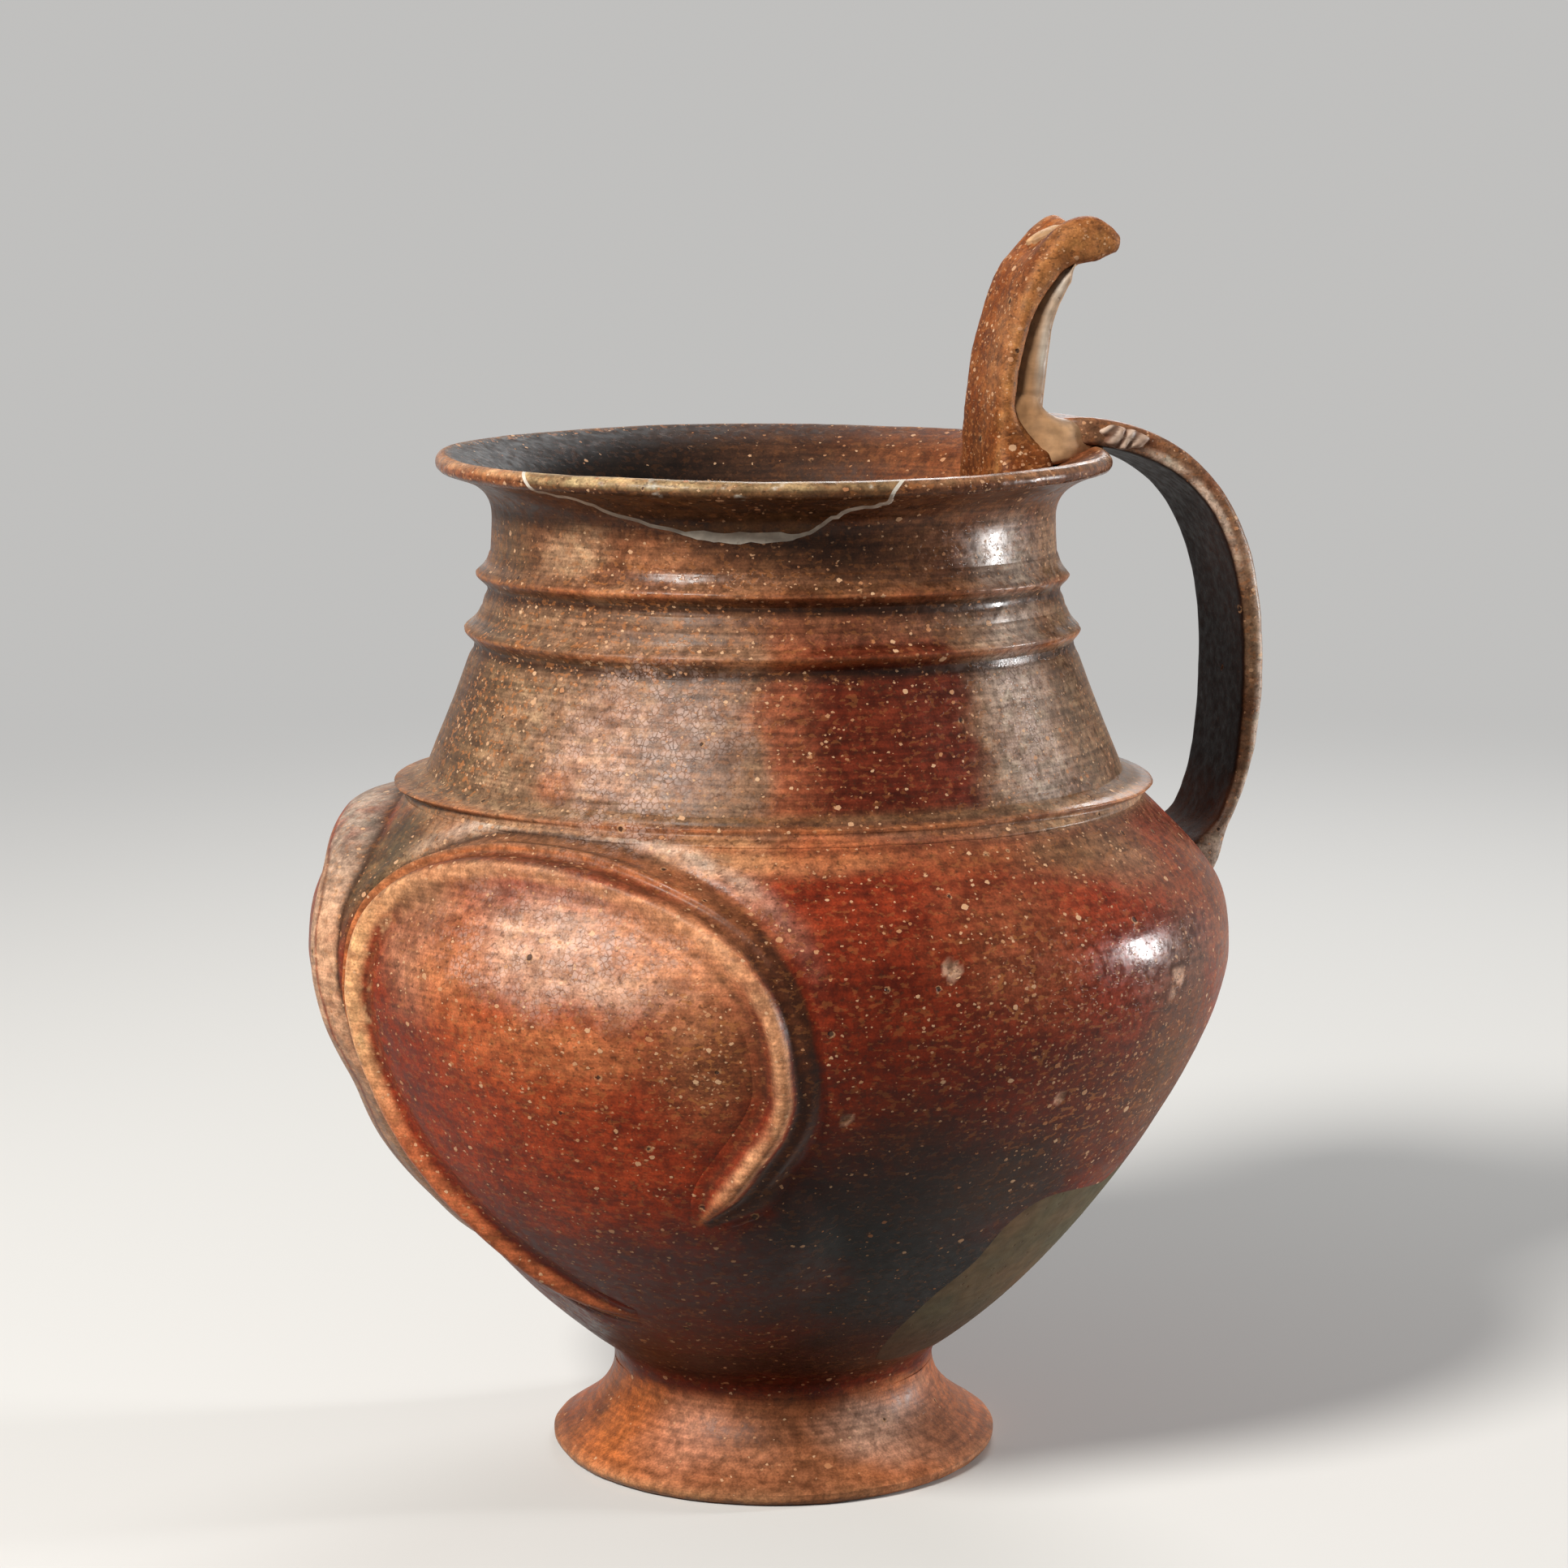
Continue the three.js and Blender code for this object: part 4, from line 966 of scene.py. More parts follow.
def fill_foot():
    rings = []
    for share in np.linspace(0, 1, 60):
        ahead = lerp(HORN_FOOT[0], FILL_TOE, share)
        bottom = MOUTH_HEIGHT - lerp(6, 1.9, share)
        heel = 7.5 * np.exp(-max(ahead - FILL_HEEL, 0) / 2.6)
        top = MOUTH_HEIGHT + 6.5 + heel - 1.5 * smooth(0.8, 1, share)
        side = lerp(11.8, 14.7, smooth(0.2, 0.55, share)) - 3.2 * smooth(0.55, 1, share)
        corners = np.array([
            (-side, bottom), (side, bottom), (side, top - 2),
            (side - 2, top), (2 - side, top), (-side, top - 2),
        ])
        ring = soft_ring(corners, 64, 3)
        rings.append(np.column_stack([np.full(len(ring), ahead), ring]))
    return np.array(rings)


def fork_fill_piece():
    meshes = []
    for rings in (fill_tongue(), fill_foot()):
        flat = rings.reshape(-1, 3)
        flat[:, 1] += 0.6 * clouds(flat + 5, 11) + 0.2 * clouds(flat, 3)
        flat[:, 0] += 0.4 * clouds(flat + 17, 9)
        meshes.append(tube_mesh(flat.reshape(rings.shape)))
    return combined(*meshes, "UNION")


# How deep a small fill sinks into what it sits on
DOME_ROOT = 1.2


def dome_lumps(across, rise):
    return np.sin(across * 1.9 - rise * 0.9 + np.sin(across * 0.8))


def dome_piece(place, ways, size, bumps):
    """Low dome with an uneven outline, flat underneath. Ways and size run across, up and out."""
    across_way, up_way, out_way = ways
    half_width, half_height, thickness = size
    rings = []
    turns = np.linspace(0, 2 * np.pi, 56, endpoint=False)
    outline = 1 + 0.1 * np.sin(3 * turns + 1) + 0.06 * np.sin(7 * turns)
    for share in np.linspace(0, 1, 16)[1:]:
        across = half_width * outline * np.cos(turns) * np.sin(share * np.pi / 2)
        rise = half_height * outline * np.sin(turns) * np.sin(share * np.pi / 2)
        bumpy = 1 + bumps * dome_lumps(across, rise) * share
        out = thickness * np.cos(share * np.pi / 2) * bumpy
        rings.append(place + across[:, None] * across_way + rise[:, None] * up_way + out[:, None] * out_way)
    rings.append(rings[-1] - out_way * DOME_ROOT)
    return tube_mesh(np.array(rings))


def horn_tip_fill_piece():
    share = 0.2
    spot, direction = horn_station(share)
    section = horn_section(share)
    front = np.array([direction[1], -direction[0]])
    seat = spot + front * (section["front"] - section["saddle"] + 0.1)
    place = np.array([seat[0], 2.5, seat[1]])
    along = np.array([-direction[0], 0, -direction[1]])
    out = np.array([front[0], 0, front[1]])
    return dome_piece(place, (along, np.array((0, 1.0, 0)), out), (5.2, 2.9, 1.2), 0.0)


MEND_ALONG = np.array([0.985, 0, -0.17])
MEND_UP = np.array([0.17, 0, 0.985])


def mend_place():
    spot = strap_upper[int(0.07 * STRAP_RINGS)]
    side = -float(strap_width(0.035)) / 2
    return np.array([spot[0] + 1.2, side + 0.4, spot[1] - 0.5])


def strap_mend_piece():
    outward = np.array((0, -1.0, 0))
    return dome_piece(mend_place(), (MEND_ALONG, MEND_UP, outward), (6.8, 2.6, 1.5), 0.8)


# Colours, linear red, green and blue
RED = np.array([0.225, 0.028, 0.009])
BRIGHT_RED = np.array([0.43, 0.062, 0.020])
DEEP_RED = np.array([0.125, 0.015, 0.005])
NECK_RED = np.array([0.120, 0.018, 0.007])
BROWN = np.array([0.175, 0.068, 0.031])
DARK_BROWN = np.array([0.068, 0.026, 0.012])
SOOT = np.array([0.006, 0.004, 0.003])
OLIVE = np.array([0.185, 0.100, 0.048])
NECK_BROWN = np.array([0.250, 0.130, 0.072])
GREY_BROWN = np.array([0.340, 0.200, 0.115])
PALE_GREY = np.array([0.330, 0.245, 0.190])
PINK = np.array([0.480, 0.270, 0.180])
TAN = np.array([0.540, 0.290, 0.145])
ORANGE = np.array([0.500, 0.150, 0.050])
DULL_ORANGE = np.array([0.360, 0.115, 0.045])
WARM_BROWN = np.array([0.255, 0.092, 0.040])
YELLOW_TAN = np.array([0.420, 0.290, 0.150])
PATCH_GREY = np.array([0.105, 0.086, 0.048])
PLASTER = np.array([0.560, 0.335, 0.175])
PLASTER_DARK = np.array([0.370, 0.195, 0.088])
WHITE = np.array([0.700, 0.640, 0.550])
RUST = np.array([0.440, 0.190, 0.105])
AMBER = np.array([0.600, 0.245, 0.115])

# Fire clouds, worn places, painted highlights and painted shade on the wall: angle, height,
# reach across and up in millimetres, colour and strength, laid on in this order
FIRE_CLOUDS_AND_PAINTED_LIGHT = (
    # Belly, right of the near boss
    (268, 140, 52, 26, RED, 0.6),
    (262, 132, 26, 18, DEEP_RED, 0.7),
    (270, 116, 34, 16, DEEP_RED, 0.75),
    (284, 142, 22, 18, WARM_BROWN, 0.45),
    (248, 159, 30, 4, TAN * (1.15, 1.0, 0.9), 0.75),
    (261, 160, 16, 4, ORANGE * (0.95, 0.85, 0.9), 0.7),
    (282, 158, 26, 4, DULL_ORANGE, 0.5),
    (300, 156, 20, 6, OLIVE, 0.8),
    (312, 152, 16, 9, NECK_BROWN, 0.7),
    # Brown clay right of the belly, painted darker: painted shade
    (312, 120, 22, 26, BROWN * 0.65, 0.85),
    (330, 138, 26, 24, WARM_BROWN, 0.7),
    (298, 104, 30, 14, DARK_BROWN, 0.6),
    (320, 96, 30, 20, OLIVE * 0.8, 0.6),
    (334, 84, 26, 16, DARK_BROWN, 0.6),
    (286, 96, 26, 14, DEEP_RED, 0.6),
    (268, 98, 22, 12, DARK_BROWN * 0.6, 0.75),
    # Lower belly down to the waist: a black fire cloud, made darker as painted shade of the underside
    (258, 84, 16, 12, SOOT * 2, 0.7),
    (266, 66, 42, 27, SOOT, 1.0),
    (282, 56, 36, 26, SOOT, 1.0),
    (276, 84, 30, 14, SOOT * 2, 0.8),
    (291, 84, 24, 16, DARK_BROWN * 0.5, 0.95),
    (240, 33, 60, 10, SOOT, 0.8),
    (290, 30, 20, 6, DARK_BROWN, 0.7),
    # Near boss, from its crown down to its foot
    (226, 58, 44, 22, DEEP_RED * 0.8, 0.95),
    (226, 90, 38, 20, BRIGHT_RED * 0.72, 0.9),
    (222, 116, 26, 14, BRIGHT_RED * (1.02, 1.35, 1.3), 0.85),
    (245, 119, 17, 18, WARM_BROWN * 0.85, 0.85),
    (243, 84, 14, 14, RED, 0.6),
    (207, 138, 13, 20, RUST, 0.8),
    # Crown of the near boss: pale pink and amber clay, painted brighter as a painted highlight of the key
    # lamp
    (227, 141, 31, 14, PINK * 1.38, 0.92),
    (243, 141, 21, 14, AMBER, 0.85),
    (214, 136, 12, 14, ORANGE, 0.7),
    (230, 120, 22, 9, DULL_ORANGE * (1.5, 1.6, 1.6), 0.65),
    (196, 152, 26, 11, OLIVE * 1.2, 0.9),
    (187, 150, 16, 20, OLIVE * (0.5, 0.58, 0.62), 0.97),
    (204, 157.5, 20, 5, GREY_BROWN * 1.2, 0.7),
    (208, 154, 12, 3, DULL_ORANGE, 0.85),
    (222, 159, 18, 4, GREY_BROWN, 0.7),
    # Far boss and the sides away from the photograph
    (170, 120, 26, 30, DULL_ORANGE, 0.5),
    (150, 120, 40, 30, BRIGHT_RED * 0.8, 0.7),
    (132, 96, 34, 26, DARK_BROWN, 0.7),
    (110, 132, 40, 22, WARM_BROWN, 0.8),
    (84, 108, 44, 26, SOOT * 2, 0.8),
    (60, 138, 36, 20, BROWN, 0.8),
    (36, 112, 40, 26, BRIGHT_RED * 0.6, 0.6),
    (10, 138, 30, 22, OLIVE, 0.7),
    (0, 100, 36, 24, DEEP_RED, 0.7),
    (20, 70, 40, 18, DARK_BROWN, 0.8),
    (100, 60, 50, 20, DEEP_RED, 0.7),
    # Neck
    (188, 180, 24, 40, OLIVE * 0.9, 0.95),
    (178, 182, 16, 26, DARK_BROWN * 1.1, 0.6),
    (208, 182, 14, 22, GREY_BROWN, 0.75),
    (224, 179, 18, 17, PINK, 0.9),
    (241, 184, 13, 18, PINK * 0.55, 0.85),
    (216, 171, 5, 4, ORANGE, 0.5),
    (222, 206, 26, 5, NECK_BROWN, 0.6),
    (330, 190, 22, 34, OLIVE * 0.8, 0.8),
    # Right of the neck: pale grey clay painted brighter as a painted highlight, and grey-brown beside it
    # painted darker as painted shade
    (302, 188, 14, 30, PALE_GREY * 1.3, 0.95),
    (318, 184, 10, 26, GREY_BROWN * 0.65, 0.75),
    (262, 208, 26, 8, WARM_BROWN * 0.8, 0.7),
    (186, 222, 18, 9, OLIVE * 0.75, 0.7),
    # Just under the rim's flare: lighter at 211 and 230 degrees and darker at 262 degrees, painted light and
    # painted shadow of the flare
    (211, 223, 11, 8, GREY_BROWN * 1.4, 0.8),
    (230, 223, 12, 8, BROWN * 1.9, 0.8),
    (262, 222, 30, 9, DARK_BROWN, 0.85),
    (284, 222, 14, 8, BROWN * 0.9, 0.8),
    # Right of the neck near the rim: a painted highlight on the grey clay, and painted shade beside it
    (304, 218, 13, 12, PALE_GREY * 1.3, 0.85),
    (322, 222, 14, 10, GREY_BROWN * 0.8, 0.7),
    (140, 190, 50, 30, OLIVE, 0.7),
    (90, 185, 50, 30, NECK_RED, 0.7),
    (50, 195, 40, 30, DARK_BROWN, 0.7),
    (10, 185, 40, 26, GREY_BROWN, 0.7),
    # Foot
    (176, 8, 12, 8, DULL_ORANGE * 0.8, 0.8),
    (182, 13, 7, 5, DARK_BROWN, 0.7),
    (200, 10, 16, 12, ORANGE * (0.85, 0.78, 0.6), 0.9),
    (230, 12, 16, 8, PINK * (1.05, 0.8, 0.7), 0.8),
    (252, 12, 14, 12, WARM_BROWN * 0.8, 0.8),
    (268, 9, 14, 9, WARM_BROWN * 0.75, 0.7),
    # Right of the foot: pinkish clay painted brighter as a painted highlight
    (298, 14, 18, 8, PINK * (1.1, 1.15, 1.2), 0.88),
    (300, 21, 12, 4, ORANGE, 0.7),
    (318, 8, 20, 10, WARM_BROWN, 0.7),
    (340, 14, 24, 10, DULL_ORANGE, 0.6),
    (30, 10, 30, 10, BROWN, 0.7),
    (90, 10, 34, 10, ORANGE, 0.5),
    (140, 10, 24, 10, RED, 0.5),
)

# The slip left bare and red between the two grey sides of the neck
NECK_BAND = (251, 288)

# Where the burnish has crazed into a pale bloom, where it shines most, and where the temper
# shows: angle, height, reach across and up in millimetres, and strength
BLOOMS = ((227, 140, 30, 13, 1), (230, 180, 26, 20, 1), (303, 186, 12, 18, 1))
SHINES = (
    (304, 216, 18, 16, 0.5), (298, 135, 34, 24, 0.5), (303, 190, 26, 34, 0.5),
    (262, 150, 40, 20, 0.5), (255, 222, 60, 12, 0.5), (60, 150, 60, 30, 0.5),
)
SPECKLED = (
    (194, 186, 26, 34, 1.0), (225, 205, 50, 20, 0.75), (300, 100, 40, 24, 0.8),
    (244, 118, 14, 20, 0.9), (285, 122, 40, 24, 0.65), (225, 120, 40, 30, 0.5),
)
PLAIN_SPECKLE = 0.3
PLAIN_SHINE = 0.5
INSIDE_SPECKLE = 0.18
HIGHEST_FOOT_CLOUD = 24


def plain(points, colour):
    return np.tile(colour, (len(points), 1))


def traits(points, speckle, shine):
    """Speckle, bloom and shine of clay or plaster that nowhere blooms."""
    return [value + np.zeros(len(points)) for value in (speckle, 0, shine)]


def coated(colours, *coats):
    """Colours under coats laid on in turn, each a colour and an amount from 0 to 1."""
    for target, amount in coats:
        colours = colours + (target - colours) * np.clip(amount, 0, 1)[:, None]
    return colours


def facing_out(points, normals):
    """One where the surface looks away from the axis, minus one where it looks toward it."""
    radius = np.hypot(points[:, 0], points[:, 1])
    return (normals[:, 0] * points[:, 0] + normals[:, 1] * points[:, 1]) / np.maximum(radius, 1)


def patch_share(place, middle, at, across, up):
    """How much of a patch lies on each point, with a ragged border."""
    angle, height, borders = place
    side = np.radians(turned_by(angle, middle)) * np.maximum(wall_radius(at), 40) / across
    rise = (height - at) / up
    ragged = np.cos(middle + at) * borders[0] + np.sin(middle + at) * borders[1]
    return 1 - smooth(0.25, 1.35, np.hypot(side, rise) + 0.6 * ragged)


def strongest(patches, least, place):
    """The strength of the patches at each point, and at least the given one."""
    found = np.full(len(place[0]), float(least))
    for middle, at, across, up, strength in patches:
        found = np.maximum(found, strength * patch_share(place, middle, at, across, up))
    return found


def clouded_and_painted_light(colours, place):
    """The fire clouds, worn places, painted highlights and painted shade, each kept to the foot, belly or
    neck that it lies on.
    """
    height = place[1]
    for middle, at, across, up, colour, strength in FIRE_CLOUDS_AND_PAINTED_LIGHT:
        share = patch_share(place, middle, at, across, up)
        if at <= HIGHEST_FOOT_CLOUD:
            share = share * (1 - smooth(20, 24, height))
        elif at < SHOULDER_HEIGHT:
            share = share * smooth(22, 28, height) * (1 - smooth(161, 166, height))
        else:
            share = share * smooth(161, 166, height)
        colours = coated(colours, (colour, share * strength))
    return colours


def neck_banded(colours, place):
    """The slip left bare and red between the two grey sides of the neck."""
    angle, height, borders = place
    left = smooth(-3.5, 4, turned_by(angle, NECK_BAND[0]) + 8 * borders[0])
    right = smooth(-3.5, 3.5, turned_by(NECK_BAND[1], angle) + 9 * borders[1])
    band = left * right * smooth(163, 167, height) * (1 - smooth(206, 216, height))
    band = band * (1 - 0.55 * bell(height, 1, 207, 4))
    warm = 0.8 * WARM_BROWN * (1 - smooth(252, 264, angle))[:, None]
    return coated(colours, (NECK_RED + warm, band))


def worn_crests_and_shadows(colours, shine, points):
    """Crests and edges of the cordons worn to bare clay, with painted shadow in the grooves under the neck
    cordons.
    """
    angle = angle_of(points)
    height = points[:, 2]
    for cordon in (LOWER_CORDON, UPPER_CORDON):
        rise = height - cordon["height"] - crest_wave(angle, cordon["height"])
        worn = bell(rise, 0.75, -0.3, 1.0) * (0.65 + 0.7 * clouds(points, 9))
        # Each neck cordon: worn orange crest, and a dark band of painted shadow in the groove below it
        colours = coated(
            colours, (ORANGE * 0.9, worn), (DARK_BROWN * 0.6, bell(rise, 0.95, -3.3, 1.4)),
        )
        shine = np.maximum(shine, bell(rise, 0.95, 2.6, 1.8))
    rise = height - SHOULDER_CREST
    pale_sides = within(abs(turned_by(angle, FLAT_SIDE)), 20, 45, 95, 140)
    colours = coated(
        colours,
        (OLIVE * 0.8, bell(rise, 0.7, 2.4, 1.3)),
        (ORANGE * 0.9, bell(rise, 0.8, 0.2, 0.7) * (0.7 + clouds(points, 8))),
        (DEEP_RED, bell(rise, 0.5, -3.6, 0.9) * smooth(215, 250, angle)),
        (GREY_BROWN * 1.1, bell(rise, 0.75, -2.2, 1.4) * pale_sides),
        (GREY_BROWN * 0.9, bell(rise, 0.5, 1.6, 1.2) * pale_sides),
    )
    return colours, shine


def rib_tones(near, along, high):
    """Colours of the rib's crest and of its flank. The flank colour is a painted highlight where the flank
    faces the light, and the near crest, worn tan, is painted brighter on its long limb, partly painted light.
    """
    if not near:
        flank = lerp(PALE_GREY * (1.75, 1.3, 1.0), PALE_GREY * 1.1, high[:, None])
        return PALE_GREY * (1.5, 1.2, 1.0), flank
    crest = lerp(TAN * (1.2, 1.05, 1.05), TAN * (1.65, 1.6, 1.5), smooth(0.5, 0.6, along)[:, None])
    crest = lerp(crest, ORANGE * (1.05, 0.95, 1.1), smooth(0.67, 0.78, along)[:, None])
    crest = lerp(ORANGE, crest, smooth(0.0, 0.06, along)[:, None])
    return crest, ORANGE * (0.95, 1.15, 1.3)


def ribbed(colours, shine, points, near, across, along):
    """Paint of one rib, from the crest to the web outside it. Near is 1 or 0."""
    rise = points[:, 2] - BOSS_HEIGHT
    full = smooth(0, 0.01, along) * smooth(0, 0.05, 1 - along)
    across = across / lerp(NARROW_END, 1, rib_fullness(along))
    across = across + 0.7 * clouds(points + 11, 6)
    left = smooth(*LONG_LIMB, along)
    side = smooth(0.5, 0.62, along) if near else smooth(0.34, 0.44, along)
    low_end = smooth(0.64, 0.72, along)
    crest_tone, lit_flank_tone = rib_tones(near, along, smooth(20, 46, rise))
    grain = 0.8 * clouds(points, 8, (1, 1, 0.5)) + 0.7 * clouds(points, 2.5)
    grain = 0.98 + grain * lerp(1, 0.4, low_end)

    flank = smooth(lerp(-8.4, -9.4, left), lerp(-7.2, -8.4, left), across)
    flank = flank * (1 - smooth(lerp(-2.9, -3.7, left), lerp(-1.9, -2.5, left), across))
    groove = bell(across, 1, -9.0, 1.0)
    ridge = bell(across, 1, -5.6, 0.9) * lerp(0, 0.8, left) * near
    valley = (0.7 + 0.4 * side * near) * bell(across, 1, -3.7, 0.6) * full * left * near
    inner = lerp(1.7, 3.2, side)
    crest = smooth(lerp(-2.2, -2.9, left), lerp(-1.4, -1.9, left), across)
    crest = crest * (1 - smooth(inner - 1.2, inner + 1.2, across))
    unworn = 1 - 0.35 * smooth(0.2, 0.3, along) * (1 - smooth(0.5, 0.6, along))
    border = full * side * near * (1 - low_end)
    flecks = smooth(0.1, 0.3, clouds(points + 70, 2.6)) * bell(across, 1, 4.4, 1.3)
    beside = bell(across, 0.55, 4.2, 0.9) * (1 - left)
    top = smooth(14, 34, rise) * lerp(0.5, 1, left)
    web = bell(across, 0.85, -12.6, 2.2) * full * top * grain
    brushed = within(angle_of(points), 192, 203, 246, 262) if near else 1
    colours = coated(
        colours,
        # The hook limb's outer flank is painted dark as painted shade; on the long limb the flank takes the
        # painted highlight colour
        (DARK_BROWN * (0.8, 0.7, 0.6), 0.9 * flank * full * (1 - left)),
        (WARM_BROWN, 0.6 * flank * full * left * (1 - side)),
        (lit_flank_tone, (0.6 if near else 0.95) * flank * full * side * grain),
        # The groove outside the ridge, painted dark: painted shade
        (DARK_BROWN * 0.7, 0.85 * groove * full * left),
        (ORANGE * 0.95, ridge * full * grain),
        (DEEP_RED * 1.1, valley),
        (crest_tone, 0.92 * crest * full * grain * unworn),
        (WARM_BROWN * 0.6, bell(across, 0.6, 5.2, 1.3) * border),
        (TAN * 1.35, flecks * border),
        (DARK_BROWN, beside * full),
        (PALE_GREY * 1.75 if near else OLIVE * 0.8, web * brushed),
    )
    return colours, np.maximum(shine, 0.8 * flank * full * (1 - side))


def wall_paint(points, normals):
    """Clay of the vessel: colour, and speckle, bloom and shine from 0 to 1."""
    angle = angle_of(points)
    height = points[:, 2]
    radius = np.hypot(points[:, 0], points[:, 1])
    facing = facing_out(points, normals)
    borders = [clouds(points + shift, 15, (1, 1, 0.6)) for shift in (0, 83)]
    place = (angle, height, borders)
    colours = coated(
        plain(points, RED),
        # Darker red toward the bottom: partly the clay's own deep red, partly painted shade of the underside
        (DEEP_RED, 0.9 * (1 - smooth(60, 112, height))),
        (DULL_ORANGE, 1 - smooth(19, 24, height + 3 * borders[0])),
        (NECK_BROWN, smooth(155, 166, height)),
        (BROWN, smooth(205, 222, height)),
    )
    colours = neck_banded(clouded_and_painted_light(colours, place), place)
    speckle = strongest(SPECKLED, PLAIN_SPECKLE, place)
    bloom = strongest(BLOOMS, 0, place)
    shine = PLAIN_SHINE + strongest(SHINES, 0, place)
    colours, shine = worn_crests_and_shadows(colours, shine, points)
    for boss, (across, along, _) in zip(BOSSES, boss_places(angle, height)):
        colours, shine = ribbed(colours, shine, points, boss[2], across, along)

    # Pits show bare clay round a dark middle
    chips = pitting(points)
    colours = coated(
        colours, (PINK * 1.05, smooth(0.02, 0.1, chips)), (DARK_BROWN, smooth(0.4, 0.6, chips)),
    )
    shine = shine * (1 - 0.7 * smooth(0.05, 0.3, chips))

    # The inside is dull, and painted dark as painted shade: black on the side in deepest shadow, warmer and
    # lighter at the back of the mouth where light falls in
    inside = smooth(0.15, -0.25, facing) * smooth(26, 30, height)
    toward_back = smooth(0, 40, 52 - abs(turned_by(angle, 15)))
    shaded_lining = coated(
        plain(points, DARK_BROWN * 0.7),
        (BROWN * 0.36, smooth(205, 240, height)),
        (WARM_BROWN * (0.9, 0.75, 0.6), toward_back * smooth(205, 235, height) * 0.9),
        (SOOT * 1.5, within(angle, 60, 108, 240, 260) * 0.95),
    )
    colours = coated(colours, (shaded_lining, inside))
    bloom = bloom * (1 - inside)
    shine = shine * (1 - 0.9 * inside)

    # Few grains show inside, on the foot and where the painted colour is darkest, in soot and painted shade
    # alike
    speckle = np.where(inside > 0.5, INSIDE_SPECKLE, speckle)
    speckle = speckle * lerp(0.25, 1, smooth(20, 28, height))
    speckle = speckle * lerp(0.35, 1, smooth(0.01, 0.09, colours[:, 0]))

    # The foot's underside, and its lower edge painted pale as a painted highlight
    hollow = smooth(0.1, -0.3, facing) * (1 - smooth(19, 22, height))
    foot_edge_highlight = bell(height, 0.6, 1.6, 1.8) * smooth(50, 52, radius) * (1 - 0.5 * smooth(245, 262, angle))
    colours = coated(
        colours, (DULL_ORANGE * 0.8, hollow), (TAN, foot_edge_highlight * (0.9 + clouds(points, 6))),
    )
    tone = 1 + 0.22 * clouds(points, 10, (1, 1, 0.6)) + 0.2 * clouds(points + 50, 34)
    return colours * np.clip(tone, 0.5, 1.5)[:, None], speckle, bloom, shine


def rim_paint(points, normals):
    colours, speckle, bloom, shine = wall_paint(points, normals)
    angle = angle_of(points)
    radius = np.hypot(points[:, 0], points[:, 1])
    level = points[:, 2] + rim_drop(points)
    flare = smooth(228, 236, level) * smooth(0.0, 0.3, normals[:, 2] * -1 + 0.25)
    lip = smooth(77.6, 79.2, radius) * smooth(237, 238.6, level)
    edge = coated(
        plain(points, BROWN),
        (ORANGE * 0.85, 0.75 * within(angle, 150, 180, 200, 214)),
        (WARM_BROWN * 0.8, within(angle, 276, 290, 330, 350)),
    )
    # The lip's top edge painted pale tan: a painted highlight, strongest on the side toward the key lamp
    top_edge = bell(level, 1, 241.3, 0.8) * smooth(76.5, 78, radius)
    highlight_share = 0.5 + 0.5 * within(angle, 150, 185, 225, 245)
    colours = coated(
        colours,
        (BROWN * 0.8, 0.7 * flare),
        (edge * 0.68, lip * 0.85),
        (TAN * 1.1, top_edge * highlight_share * (0.6 + 0.9 * clouds(points, 7))),
    )
    speckle = np.where((level > 236) & (radius > 76), np.maximum(speckle, 0.55), speckle)
    shine = np.where(lip > 0.5, 0.85, shine)
    return colours, speckle, bloom, shine


def sherd_paint(points, normals):
    level = points[:, 2]
    angle = angle_of(points)
    radius = np.hypot(points[:, 0], points[:, 1])
    lip = smooth(77.6, 79.3, radius)
    tilted = level + np.tan(RIM_LEAN) * radius * np.cos(np.radians(angle) - RIM_LEAN_TOWARD)
    # The sherd's top edge painted pale: a painted highlight, stronger toward the lamp on the left
    highlight_share = smooth(76.4, 77.6, radius) * smooth(239.3, 240.8, tilted) * (0.8 + 0.9 * clouds(points, 6))
    toward_left = 0.35 + 0.65 * (1 - smooth(232, 246, angle))
    white_spots = smooth(0.28, 0.42, clouds(points + 60, 3.4)) * lip
    colours = coated(
        plain(points, OLIVE * (0.75, 0.62, 0.5)),
        (DARK_BROWN, 0.5 + 1.2 * clouds(points, 12, (1, 1, 0.3))),
        (YELLOW_TAN * 1.5, highlight_share * toward_left),
        (BROWN, smooth(0.1, -0.3, facing_out(points, normals))),
        (WHITE * 0.8, white_spots * 0.7),
    )
    return colours, *traits(points, 0.3, 0.75)


